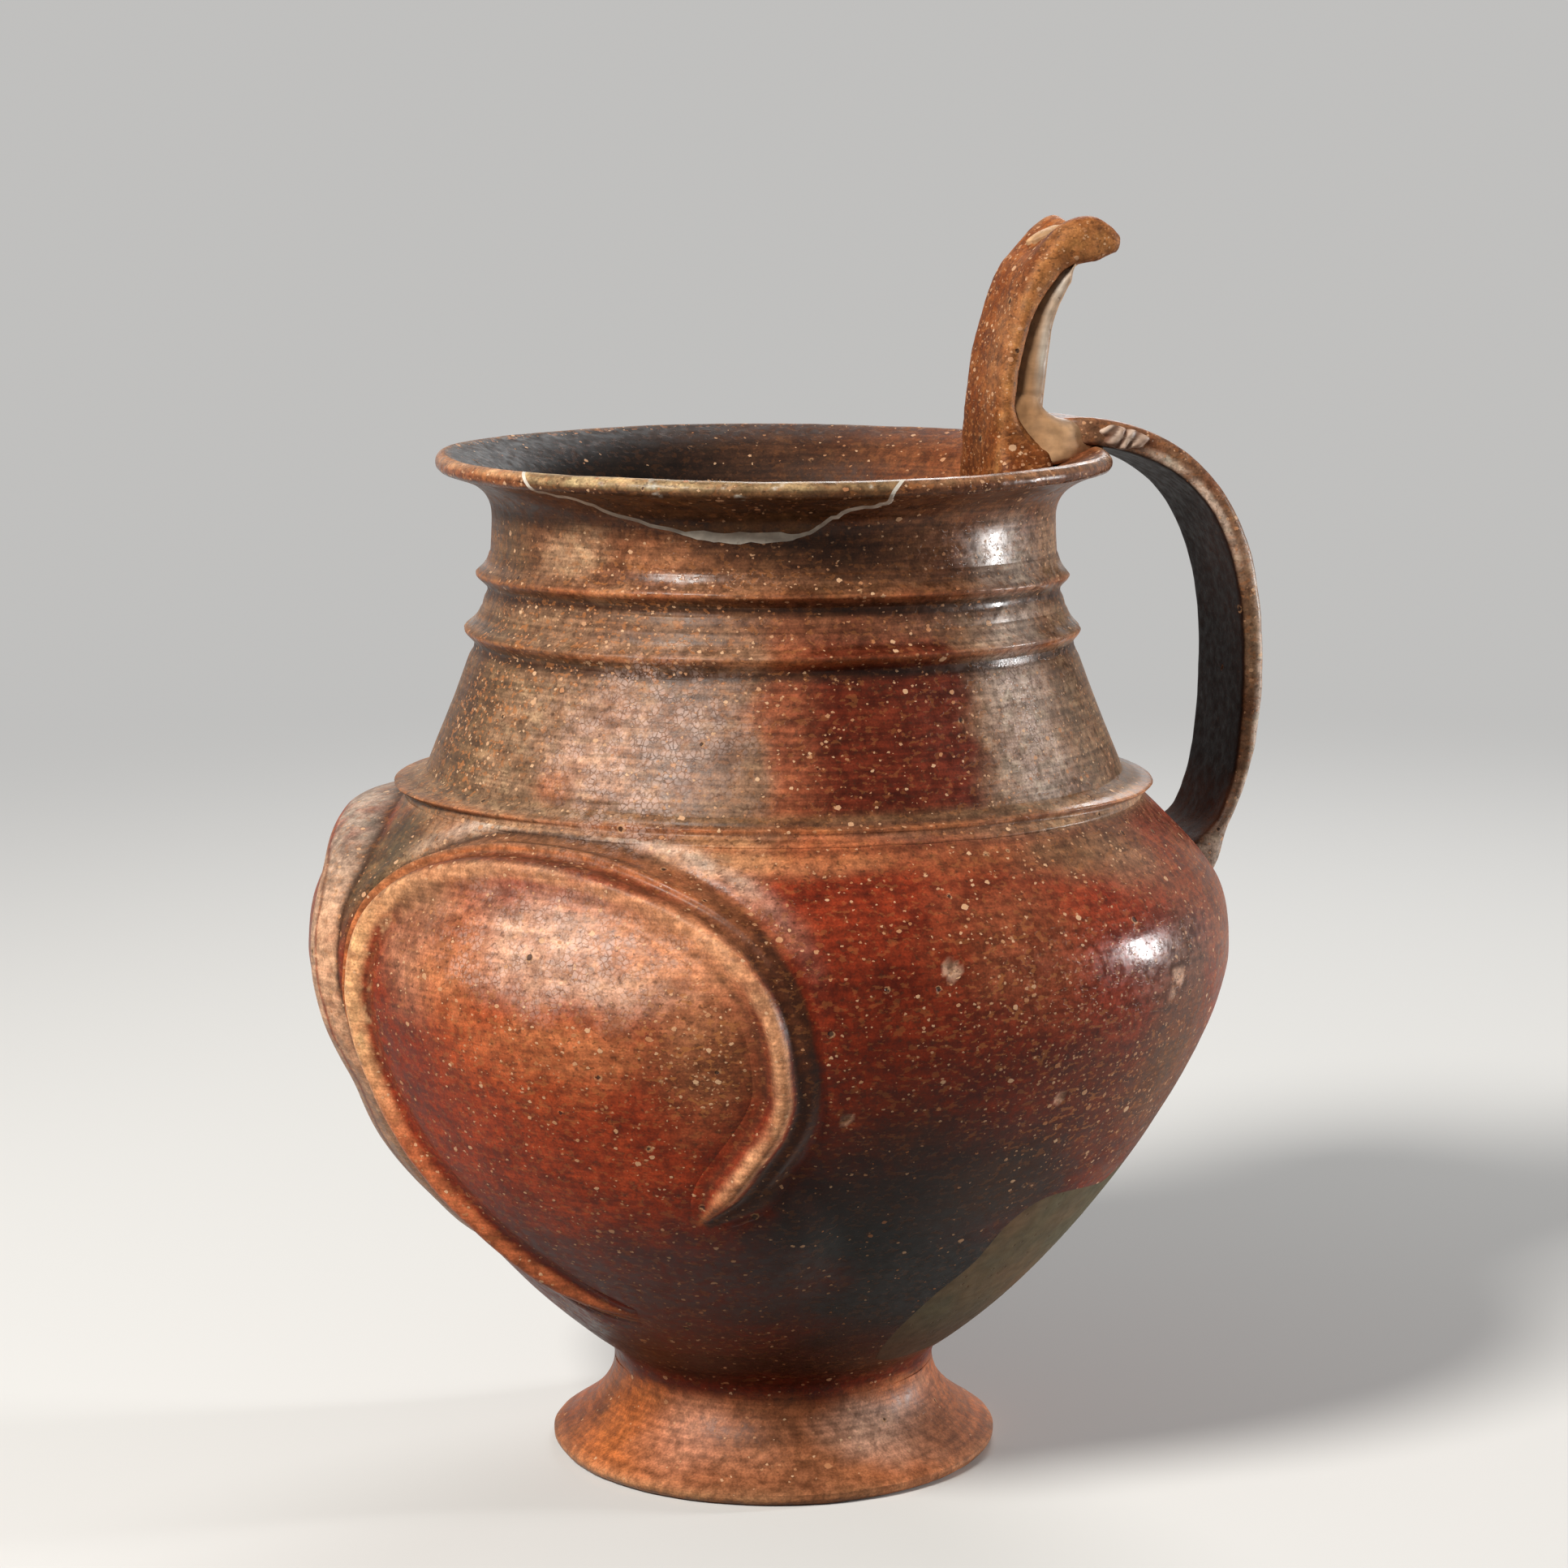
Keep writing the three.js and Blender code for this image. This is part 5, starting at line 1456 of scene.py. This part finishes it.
def strap_paint(points, normals):
    flat = points[:, [0, 2]]
    height = points[:, 2]
    nearest = ((flat[:, None] - strap_line[None, ::3]) ** 2).sum(2).argmin(1) * 3
    direction = path_of(strap_line)[nearest]
    away = flat - strap_line[nearest]
    out = away[:, 0] * -direction[:, 1] + away[:, 1] * direction[:, 0]
    half = strap_thickness(nearest / (len(strap_line) - 1)) / 2
    side = smooth(0.35, 0.8, abs(normals[:, 1]))
    upper = smooth(206, 226, height)
    # A pale line along the side face's edge, with white glints on it: painted highlights
    outer_highlight = smooth(0.0, 0.6, out / half)
    inner_highlight = smooth(0.0, -0.5, out / half) * (1 - smooth(239, 244, height))
    edge = lerp(outer_highlight, inner_highlight, upper) * side
    glints = smooth(0.16, 0.36, clouds(points + 22, 4.2)) * edge * smooth(150, 190, height)
    # The inner face, toward the pot, painted near black: painted shade
    inner = smooth(0.0, 0.4, -out / half) * (1 - side)
    low = smooth(165, 148, height)
    colours = coated(
        plain(points, DARK_BROWN * 1.3),
        (BROWN, 0.5 + 1.2 * clouds(points, 14)),
        (WARM_BROWN * 0.8, smooth(225, 242, height) * 0.8),
        (GREY_BROWN * 0.75, side * (0.7 - 0.35 * upper + clouds(points + 9, 9))),
        (PALE_GREY * 2.0, edge * (0.9 + 1.2 * clouds(points, 5))),
        (WHITE * 0.8, glints * 0.8),
        (SOOT * (2.2, 1, 0.8), inner),
        (PALE_GREY, low * side * 0.7),
        (WARM_BROWN * 0.8, low * (1 - side) * 0.5),
    )
    return colours, *traits(points, 0.4 * (1 - inner), 0.7 * (1 - inner))


def horn_paint(points, normals):
    height = points[:, 2]
    middle = bell(height, 1, 266, 15) * smooth(-2, 9, 2 - points[:, 1])
    near_side = smooth(0.5, 0.9, -normals[:, 1]) * smooth(250, 262, height)
    # A pale band along the horn's near edge: a painted highlight on the rounded edge
    edge = bell(points[:, 1], 1, -12.6, 0.9) * smooth(0.2, -0.2, normals[:, 0] + normals[:, 1])
    colours = coated(
        plain(points, WARM_BROWN),
        (ORANGE * (0.7, 0.75, 0.6), 0.3 + 1.3 * clouds(points, 12)),
        (BROWN * (0.8, 0.55, 0.4), 0.3 + 1.6 * clouds(points + 40, 15)),
        (PINK * 0.85, middle * 0.6),
        (BROWN * 0.85, smooth(262, 244, height) * (0.5 + clouds(points, 9))),
        (WARM_BROWN * 0.9, near_side * 0.6),
        (TAN * 1.15, edge * 0.55),
        (TAN, smooth(284, 292, height) * (0.15 + 0.9 * clouds(points, 5))),
    )
    return colours * (0.88, 0.7, 0.45), *traits(points, 0.75, 0.45)


def fork_fill_paint(points, normals):
    height = points[:, 2]
    flat = points[:, [0, 2]]
    nearest = ((flat[:, None] - horn_curve[None]) ** 2).sum(2).argmin(1)
    behind = np.linalg.norm(flat - horn_curve[nearest], axis=1)
    reach = np.array([fill_reach(i / (HORN_RINGS - 1)) for i in range(HORN_RINGS)])[nearest]
    # A white band along the fill's rounded rear edge: a painted highlight
    rear_highlight = bell(behind - reach, 0.9, -2.3, 1.0) * smooth(-6, -9, points[:, 1]) * smooth(249, 260, height)
    rear_highlight = rear_highlight * (0.8 + clouds(points, 6))
    top = smooth(0.3, 0.8, normals[:, 2]) * smooth(256, 250, height)
    colours = coated(
        plain(points, PLASTER),
        (PLASTER_DARK, 0.25 + 1.3 * clouds(points, 12)),
        # The near face of the fill's tongue, beside the horn, painted darker: painted shade
        (PLASTER_DARK * 0.75, smooth(246, 262, height) * smooth(0.2, 0.7, -normals[:, 1]) * 0.7),
        (PALE_GREY * 0.9, top * 0.5),
        (WHITE, rear_highlight),
    )
    return colours, *traits(points, 0.05, 0.3 + 0.5 * rear_highlight)


def grey_fill_paint(points, normals):
    colours = coated(
        plain(points, PATCH_GREY),
        (OLIVE * 0.85, 0.3 + 1.4 * clouds(points, 16)),
        (PATCH_GREY * 1.5, 0.9 * clouds(points + 30, 8)),
        (DARK_BROWN * 0.8, smooth(52, 34, points[:, 2]) * 0.7),
    )
    return colours, *traits(points, 0.12, 0.12)


def white_fill_paint(points, normals):
    colours = coated(plain(points, WHITE), (PALE_GREY, 0.15 + 1.2 * clouds(points, 4)))
    return colours, *traits(points, 0, 0.2)


def mend_paint(points, normals):
    away = points - mend_place()
    hollow = smooth(0.1, -0.7, dome_lumps(away @ MEND_ALONG, away @ MEND_UP))
    colours = coated(
        plain(points, PALE_GREY * 1.7),
        # The hollows between the lumps painted dark: painted shade
        (DARK_BROWN * 1.4, hollow * 0.85),
        (BROWN, 0.15 + 1.4 * clouds(points, 2.6)),
    )
    return colours, *traits(points, 0, 0.6)


def tip_fill_paint(points, normals):
    colours = coated(plain(points, PLASTER * 1.05), (PLASTER_DARK, 0.2 + clouds(points, 4)))
    return colours, *traits(points, 0, 0.25)


# Materials: the painted colour, with grain, streaks, specks, pits and crazing from nodes
class Nodes:
    """Short names for the nodes of one material."""

    def __init__(self, material):
        material.use_nodes = True
        self.tree = material.node_tree
        self.tree.nodes.clear()
        output = self.tree.nodes.new("ShaderNodeOutputMaterial")
        self.shader = self.tree.nodes.new("ShaderNodeBsdfPrincipled")
        self.tree.links.new(self.shader.outputs[0], output.inputs[0])
        self.place = self.tree.nodes.new("ShaderNodeTexCoord").outputs["Object"]

    def link(self, value, socket):
        if isinstance(value, bpy.types.NodeSocket):
            self.tree.links.new(value, socket)
        else:
            socket.default_value = value

    def fill(self, node, *values):
        """Links or sets the node's first inputs."""
        for value, socket in zip(values, node.inputs):
            self.link(value, socket)
        return node.outputs[0]

    def painted(self):
        """The painted colour, and the speckle, bloom and shine painted with it."""
        colours = []
        for name in ("tint", "traits"):
            node = self.tree.nodes.new("ShaderNodeAttribute")
            node.attribute_name = name
            colours.append(node.outputs["Color"])
        return colours[0], self.channels(colours[1])

    def channels(self, colour):
        node = self.tree.nodes.new("ShaderNodeSeparateColor")
        self.fill(node, colour)
        return node.outputs[0], node.outputs[1], node.outputs[2]

    def math(self, operation, *values):
        node = self.tree.nodes.new("ShaderNodeMath")
        node.operation = operation
        return self.fill(node, *values)

    def times(self, first, second):
        return self.math("MULTIPLY", first, second)

    def times_plus(self, first, second, third):
        return self.math("MULTIPLY_ADD", first, second, third)

    def ramp(self, value, start, end, low=0.0, high=1.0):
        node = self.tree.nodes.new("ShaderNodeMapRange")
        node.interpolation_type = "SMOOTHSTEP"
        return self.fill(node, value, start, end, low, high)

    def stretched(self, scale):
        node = self.tree.nodes.new("ShaderNodeMapping")
        self.link(self.place, node.inputs["Vector"])
        self.link(scale, node.inputs["Scale"])
        return node.outputs[0]

    def vector(self, operation, *values):
        node = self.tree.nodes.new("ShaderNodeVectorMath")
        node.operation = operation
        return self.fill(node, *values)

    def shaken(self, scale, reach):
        """The surface position shaken by fine noise, in metres."""
        shake = self.tree.nodes.new("ShaderNodeTexNoise")
        self.link(self.place, shake.inputs["Vector"])
        self.link(scale, shake.inputs["Scale"])
        self.link(2.0, shake.inputs["Detail"])
        return self.vector("MULTIPLY_ADD", shake.outputs["Color"], (reach, reach, reach), self.place)

    def noise(self, scale, detail, vector=None):
        node = self.tree.nodes.new("ShaderNodeTexNoise")
        self.link(vector or self.place, node.inputs["Vector"])
        self.link(scale, node.inputs["Scale"])
        self.link(detail, node.inputs["Detail"])
        return node.outputs["Fac"]

    def cells(self, scale, vector=None, feature="F1"):
        node = self.tree.nodes.new("ShaderNodeTexVoronoi")
        node.feature = feature
        self.link(vector or self.place, node.inputs["Vector"])
        self.link(scale, node.inputs["Scale"])
        return node.outputs["Distance"], node.outputs.get("Color")

    def mix(self, share, first, second, blend="MIX"):
        node = self.tree.nodes.new("ShaderNodeMix")
        node.data_type = "RGBA"
        node.blend_type = blend
        self.link(share, node.inputs["Factor"])
        self.link(first, node.inputs["A"])
        self.link(second, node.inputs["B"])
        sockets = [socket for socket in node.outputs if socket.type == "RGBA"]
        return sockets[0]

    def coat(self, colour, share, strength, tone):
        return self.mix(self.times(share, strength), colour, tone)

    def tinted(self, colour, tint):
        return self.mix(1.0, colour, tint, "MULTIPLY")

    def surface(self, colour, rough, specular, relief, bump_strength):
        """Ends the material: colour, roughness, plain specular level and bump."""
        bump = self.tree.nodes.new("ShaderNodeBump")
        self.link(bump_strength, bump.inputs["Strength"])
        self.link(BUMP_DISTANCE, bump.inputs["Distance"])
        self.link(relief, bump.inputs["Height"])
        self.link(colour, self.shader.inputs["Base Color"])
        self.link(rough, self.shader.inputs["Roughness"])
        self.shader.inputs["Specular IOR Level"].default_value = specular
        self.link(bump.outputs[0], self.shader.inputs["Normal"])


def colour4(colour):
    return (*[float(channel) for channel in colour], 1.0)


BUMP_DISTANCE = 0.0006
STAINED = colour4((0.55, 0.42, 0.36))
FADED = colour4((1.35, 1.5, 1.45))
RUBBED = colour4(ORANGE * (0.85, 1.05, 1.0))
BLOOM_WHITE = colour4((0.74, 0.54, 0.47))
PIT_DARK = colour4((0.02, 0.01, 0.008))
GRAIN_DARK = colour4(TAN * (0.85, 0.62, 0.5))
GRAIN_PALE = colour4(TAN * (1.45, 1.7, 2.0))

# Temper, in three sizes: cells per metre, size and share of the cells, strength, and relief
TEMPER = (
    (950.0, 0.36, 0.42, 0.7, 0.10), (430.0, 0.28, 0.3, 0.85, 0.18), (215.0, 0.2, 0.16, 0.9, 0.25),
)


def clay(name, roughness=(0.62, 0.21), streaks=0.5, grain=1.0, stains=1.0):
    """Burnished earthenware: roughness runs from dull to shiny places."""
    material = bpy.data.materials.new(name)
    n = Nodes(material)
    tint, (speckle, bloom, shine) = n.painted()

    # Fine streaks of the burnishing, round the vessel, and fine mottling
    streak = n.noise(1.0, 5.0, n.stretched((30, 30, 1000)))
    streak_tone = n.ramp(streak, 0.32, 0.68, 1 - 0.4 * streaks, 1 + 0.3 * streaks)
    mottle = n.ramp(n.noise(420.0, 6.0), 0.34, 0.66, 0.7, 1.25)
    grit = n.ramp(n.noise(1900.0, 2.0), 0.3, 0.7, 0.8, 1.2)
    colour = n.tinted(tint, n.times(n.times(streak_tone, mottle), grit))

    # Ragged stains, a few millimetres to a finger's width across
    stain = n.ramp(n.noise(105.0, 9.0, n.stretched((1, 1, 1.5))), 0.5, 0.6)
    colour = n.coat(colour, stain, 0.5 * stains, n.tinted(colour, STAINED))
    faded = n.ramp(n.noise(160.0, 9.0, n.stretched((1.2, 1.2, 2.2))), 0.52, 0.6)
    colour = n.coat(colour, faded, 0.4 * stains, n.tinted(colour, FADED))

    # Slip rubbed thin: ragged flecks of the bare orange clay
    rubbed = n.ramp(n.noise(520.0, 7.0, n.stretched((1, 1, 1.7))), 0.56, 0.61)
    colour = n.coat(colour, n.times(rubbed, speckle), 0.75, RUBBED)
    stained = n.ramp(n.noise(760.0, 6.0, n.stretched((1, 1, 1.4))), 0.58, 0.66)
    colour = n.coat(colour, stained, 0.5 * stains, colour4(DARK_BROWN * 0.7))

    # Crazed bloom: pale flakes between fine dark cracks
    ragged = n.shaken(1500.0, 0.0007)
    crack, _ = n.cells(760.0, ragged, feature="DISTANCE_TO_EDGE")
    flake = n.ramp(crack, 0.02, 0.16)
    bloom_patch = n.ramp(n.noise(300.0, 5.0), 0.4, 0.62)
    colour = n.coat(colour, n.times(n.times(bloom, flake), bloom_patch), 0.42, BLOOM_WHITE)
    dark_crack = n.times(n.math("SUBTRACT", 1.0, flake), n.times(bloom, bloom_patch))
    colour = n.coat(colour, dark_crack, 0.3, colour4(DARK_BROWN * 1.5))

    # Temper: grains of three sizes, bare where the slip has worn off them
    raised = []
    for scale, size, share, strength, height in TEMPER:
        distance, pick = n.cells(scale, n.vector("MULTIPLY", ragged, (1, 1, 1.3)))
        chance, second, third = n.channels(pick)
        present = n.math("LESS_THAN", chance, n.times(speckle, share))
        radius = n.times_plus(second, size * 0.8, size * 0.4)
        spot = n.times(n.ramp(n.math("DIVIDE", distance, radius), 1.08, 0.9), present)
        raised.append((spot, height))
        colour = n.coat(colour, spot, strength, n.mix(third, GRAIN_DARK, GRAIN_PALE))

    # Pits where grains fell out: a dark hole with a pale, broken rim
    distance, pick = n.cells(170.0, ragged)
    chance, second, _ = n.channels(pick)
    present = n.math("LESS_THAN", chance, n.times_plus(speckle, 0.3, 0.06))
    relative = n.math("DIVIDE", distance, n.times_plus(second, 0.09, 0.035))
    rim = n.times(n.ramp(relative, 1.8, 1.3), present)
    rim = n.times(rim, n.ramp(n.noise(900.0, 2.0), 0.42, 0.58))
    hole = n.times(n.ramp(relative, 1.15, 0.8), present)
    colour = n.coat(colour, rim, 0.7, colour4(TAN))
    colour = n.coat(colour, hole, 0.85, PIT_DARK)

    gloss = n.ramp(shine, 0.0, 1.0, *roughness)
    rough = n.math("ADD", gloss, n.ramp(n.noise(420.0, 4.0), 0.3, 0.7, -0.07, 0.09))
    rough = n.times_plus(raised[0][0], 0.2, rough)
    rough = n.times_plus(rim, 0.2, rough)

    relief = n.times_plus(streak, 0.10 * streaks, n.times(n.noise(700.0, 4.0), 0.12 * grain))
    raised.extend([(rubbed, -0.08), (hole, -0.9), (n.times(flake, bloom), 0.05)])
    for share, height in raised:
        relief = n.times_plus(share, height, relief)
    n.surface(colour, rough, 0.15, relief, 0.55)
    return material


def plaster(name, roughness, fleck=0.2):
    """Matte fill, tinted, with trowel marks and a few dark flecks."""
    material = bpy.data.materials.new(name)
    n = Nodes(material)
    tint, (_, _, shine) = n.painted()
    mottle = n.ramp(n.noise(330.0, 5.0), 0.3, 0.7, 0.8, 1.15)
    brush = n.ramp(n.noise(1.0, 3.0, n.stretched((160, 160, 700))), 0.3, 0.7, 0.9, 1.08)
    distance, pick = n.cells(520.0)
    chance, _, _ = n.channels(pick)
    spot = n.times(n.ramp(distance, 0.26, 0.14), n.math("LESS_THAN", chance, 0.16))
    colour = n.tinted(tint, n.times(mottle, brush))
    colour = n.coat(colour, spot, fleck, colour4(DARK_BROWN))
    dull = n.ramp(n.noise(380.0, 3.0), 0.3, 0.7, roughness - 0.06, roughness + 0.08)
    relief = n.times_plus(spot, -0.3, n.times(n.noise(500.0, 5.0), 0.3))
    n.surface(colour, n.times_plus(shine, -0.35, dull), 0.25, relief, 0.5)
    return material


belly_clay = clay("burnished_red_clay")
neck_clay = clay("burnished_brown_clay", streaks=0.8)
rib_clay = clay("worn_rib_clay", roughness=(0.6, 0.32), stains=0.35)
foot_clay = clay("foot_clay", roughness=(0.6, 0.3), streaks=0.6, stains=0.45)
sherd_clay = clay("sherd_clay", roughness=(0.55, 0.3), streaks=0.7)
strap_clay = clay("strap_clay", roughness=(0.6, 0.3), streaks=0.2)
horn_clay = clay("horn_clay", roughness=(0.7, 0.42), streaks=0.0, grain=1.4)
pale_plaster = plaster("pale_plaster", 0.62, 0.35)
grey_plaster = plaster("grey_plaster", 0.78, 0.5)
white_plaster = plaster("white_plaster", 0.75)


# Pieces: each with the CAD node it stands for, the ending of its name, its paint and its material
CREASE = np.radians(50)


def add_piece(node, ending, mesh, paint, material):
    name = node + ending
    mesh.name = name
    piece = bpy.data.objects.new(name, mesh)
    bpy.context.scene.collection.objects.link(piece)
    mesh.polygons.foreach_set("use_smooth", np.ones(len(mesh.polygons), bool))
    mesh.set_sharp_from_angle(angle=CREASE)
    count = len(mesh.vertices)
    points = np.zeros(count * 3)
    mesh.vertices.foreach_get("co", points)
    points = (points.reshape(-1, 3) - AXIS) / MM
    normals = np.zeros(count * 3)
    mesh.vertex_normals.foreach_get("vector", normals)
    colours, *others = paint(points, normals.reshape(-1, 3))
    opaque = np.ones(count)
    values = {
        "tint": np.column_stack([np.clip(colours, 0.002, 0.9), opaque]),
        "traits": np.column_stack([np.clip(np.column_stack(others), 0, 1), opaque]),
    }
    for key, table in values.items():
        layer = mesh.attributes.new(key, "FLOAT_COLOR", "POINT")
        layer.data.foreach_set("color", table.astype(np.float32).ravel())
    mesh.materials.clear()
    mesh.materials.append(material)
    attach(piece, BODY)
    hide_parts(node)


add_piece("foot_ring", "_clay", foot_piece(), wall_paint, foot_clay)
add_piece("base_disc", "_clay", base_piece(), wall_paint, belly_clay)
lower_mesh, fill_mesh = belly_pieces()
upper_mesh = wall_piece(BELLY_JOINT, SHOULDER_HEIGHT, BELLY_WALL, body_line)
add_piece("belly_lower", "_clay", lower_mesh, wall_paint, belly_clay)
add_piece("belly_fill", "_plaster", fill_mesh, grey_fill_paint, grey_plaster)
add_piece("belly_upper", "_clay", upper_mesh, wall_paint, belly_clay)
for node_name, boss in (("boss_rib_right", NEAR_BOSS), ("boss_rib_left", FAR_BOSS)):
    add_piece(node_name, "_clay", rib_piece(boss), wall_paint, rib_clay)
neck_mesh = wall_piece(SHOULDER_HEIGHT, NECK_JOINT, NECK_WALL, neck_line)
for node_name, mesh in (
    ("shoulder_cordon", shoulder_cordon_piece()),
    ("neck_wall", neck_mesh),
    ("neck_cordon_lower", neck_cordon_piece(LOWER_CORDON)),
    ("neck_cordon_upper", neck_cordon_piece(UPPER_CORDON)),
):
    add_piece(node_name, "_clay", mesh, wall_paint, neck_clay)
rim_main, rim_inset, rim_seam = rim_pieces()
add_piece("rim_lip", "_clay", rim_main, rim_paint, neck_clay)
add_piece("rim_sherd", "_clay", rim_inset, sherd_paint, sherd_clay)
add_piece("sherd_seam", "_plaster", rim_seam, white_fill_paint, white_plaster)
add_piece("handle_strap", "_clay", strap_piece(), strap_paint, strap_clay)
add_piece("handle_horn", "_clay", horn_piece(), horn_paint, horn_clay)
add_piece("fork_fill", "_plaster", fork_fill_piece(), fork_fill_paint, pale_plaster)
add_piece("horn_tip_fill", "_plaster", horn_tip_fill_piece(), tip_fill_paint, pale_plaster)
add_piece("strap_mend", "_plaster", strap_mend_piece(), mend_paint, white_plaster)


# Stage: pale floor, soft lamps and the photograph's viewpoint
BACKDROP = (0.53, 0.525, 0.515)
FLOOR_PALE = (0.74, 0.735, 0.72)
FLOOR_BOUNCE = (0.20, 0.185, 0.17)
FLOOR_HALF = 14.0
FLOOR_FADE = (0.3, 1.5)
WORLD_LIGHT = 0.10


def seen_rays(tree):
    """One for the rays that look at the backdrop, straight or in a reflection."""
    rays = tree.nodes.new("ShaderNodeLightPath")
    shares = [rays.outputs[name] for name in ("Is Camera Ray", "Is Glossy Ray", "Is Transmission Ray")]
    for share in shares[1:]:
        node = tree.nodes.new("ShaderNodeMath")
        node.operation = "MAXIMUM"
        tree.links.new(shares[0], node.inputs[0])
        tree.links.new(share, node.inputs[1])
        shares[0] = node.outputs[0]
    return shares[0]


def add_floor():
    side = FLOOR_HALF
    corners = [(-side, -side, 0), (side, -side, 0), (side, side, 0), (-side, side, 0)]
    mesh = bpy.data.meshes.new("floor")
    mesh.from_pydata(corners, [], [(0, 1, 2, 3)])
    floor = bpy.data.objects.new("floor", mesh)
    bpy.context.scene.collection.objects.link(floor)
    material = bpy.data.materials.new("floor")
    material.use_nodes = True
    tree = material.node_tree
    shader = tree.nodes["Principled BSDF"]
    seen = seen_rays(tree)
    colour = tree.nodes.new("ShaderNodeMix")
    colour.data_type = "RGBA"
    tree.links.new(seen, colour.inputs[0])
    colour.inputs[6].default_value = (*FLOOR_BOUNCE, 1)
    colour.inputs[7].default_value = (*FLOOR_PALE, 1)
    tree.links.new(colour.outputs[2], shader.inputs["Base Color"])
    shader.inputs["Roughness"].default_value = 1.0
    shader.inputs["Specular IOR Level"].default_value = 0.0
    # Far from the jug the floor runs into the backdrop
    place = tree.nodes.new("ShaderNodeTexCoord")
    reach = tree.nodes.new("ShaderNodeVectorMath")
    reach.operation = "LENGTH"
    tree.links.new(place.outputs["Object"], reach.inputs[0])
    far = tree.nodes.new("ShaderNodeMapRange")
    far.interpolation_type = "SMOOTHSTEP"
    tree.links.new(reach.outputs["Value"], far.inputs["Value"])
    far.inputs["From Min"].default_value, far.inputs["From Max"].default_value = FLOOR_FADE
    share = tree.nodes.new("ShaderNodeMath")
    share.operation = "MULTIPLY"
    tree.links.new(far.outputs["Result"], share.inputs[0])
    tree.links.new(seen, share.inputs[1])
    backdrop = tree.nodes.new("ShaderNodeEmission")
    backdrop.inputs["Color"].default_value = (*BACKDROP, 1)
    mix = tree.nodes.new("ShaderNodeMixShader")
    tree.links.new(share.outputs[0], mix.inputs[0])
    tree.links.new(shader.outputs[0], mix.inputs[1])
    tree.links.new(backdrop.outputs[0], mix.inputs[2])
    tree.links.new(mix.outputs[0], tree.nodes["Material Output"].inputs["Surface"])
    mesh.materials.append(material)


def add_lamp(name, place, target, size, power, colour=(1, 1, 1)):
    lamp = bpy.data.lights.new(name, "AREA")
    lamp.shape = "RECTANGLE" if isinstance(size, tuple) else "DISK"
    lamp.size, lamp.size_y = size if isinstance(size, tuple) else (size, size)
    lamp.energy = power
    lamp.color = colour
    item = bpy.data.objects.new(name, lamp)
    item.location = place
    item.rotation_euler = (Vector(target) - Vector(place)).to_track_quat("-Z", "Y").to_euler()
    bpy.context.scene.collection.objects.link(item)


def add_world():
    world = bpy.data.worlds.new("studio")
    bpy.context.scene.world = world
    world.use_nodes = True
    tree = world.node_tree
    light = tree.nodes["Background"]
    light.inputs["Color"].default_value = (1, 1, 1, 1)
    light.inputs["Strength"].default_value = WORLD_LIGHT
    backdrop = tree.nodes.new("ShaderNodeBackground")
    backdrop.inputs["Color"].default_value = (*BACKDROP, 1)
    mix = tree.nodes.new("ShaderNodeMixShader")
    tree.links.new(seen_rays(tree), mix.inputs[0])
    tree.links.new(light.outputs[0], mix.inputs[1])
    tree.links.new(backdrop.outputs[0], mix.inputs[2])
    tree.links.new(mix.outputs[0], tree.nodes["World Output"].inputs["Surface"])


def add_camera():
    camera = bpy.data.cameras.new("camera")
    camera.lens = CAMERA_LENS
    camera.sensor_width = SENSOR
    camera.sensor_fit = "HORIZONTAL"
    item = bpy.data.objects.new("camera", camera)
    item.location = CAMERA_PLACE
    forward = Vector((
        np.sin(CAMERA_BEARING) * np.cos(CAMERA_PITCH),
        np.cos(CAMERA_BEARING) * np.cos(CAMERA_PITCH),
        -np.sin(CAMERA_PITCH),
    ))
    item.rotation_euler = forward.to_track_quat("-Z", "Y").to_euler()
    bpy.context.scene.collection.objects.link(item)
    bpy.context.scene.camera = item


add_floor()
add_lamp("key", (-1.37, -0.86, 1.48), (0, 0, 0.15), 0.55, 56, (1, 0.97, 0.92))
add_lamp("side_box", (2.32, -0.26, 0.33), (0, 0, 0.19), (0.14, 0.46), 46)
add_lamp("back_light", (0.7, 1.3, 1.1), (0, 0, 0.15), 0.8, 12)
add_world()
add_camera()
bpy.context.scene.view_settings.view_transform = "Standard"
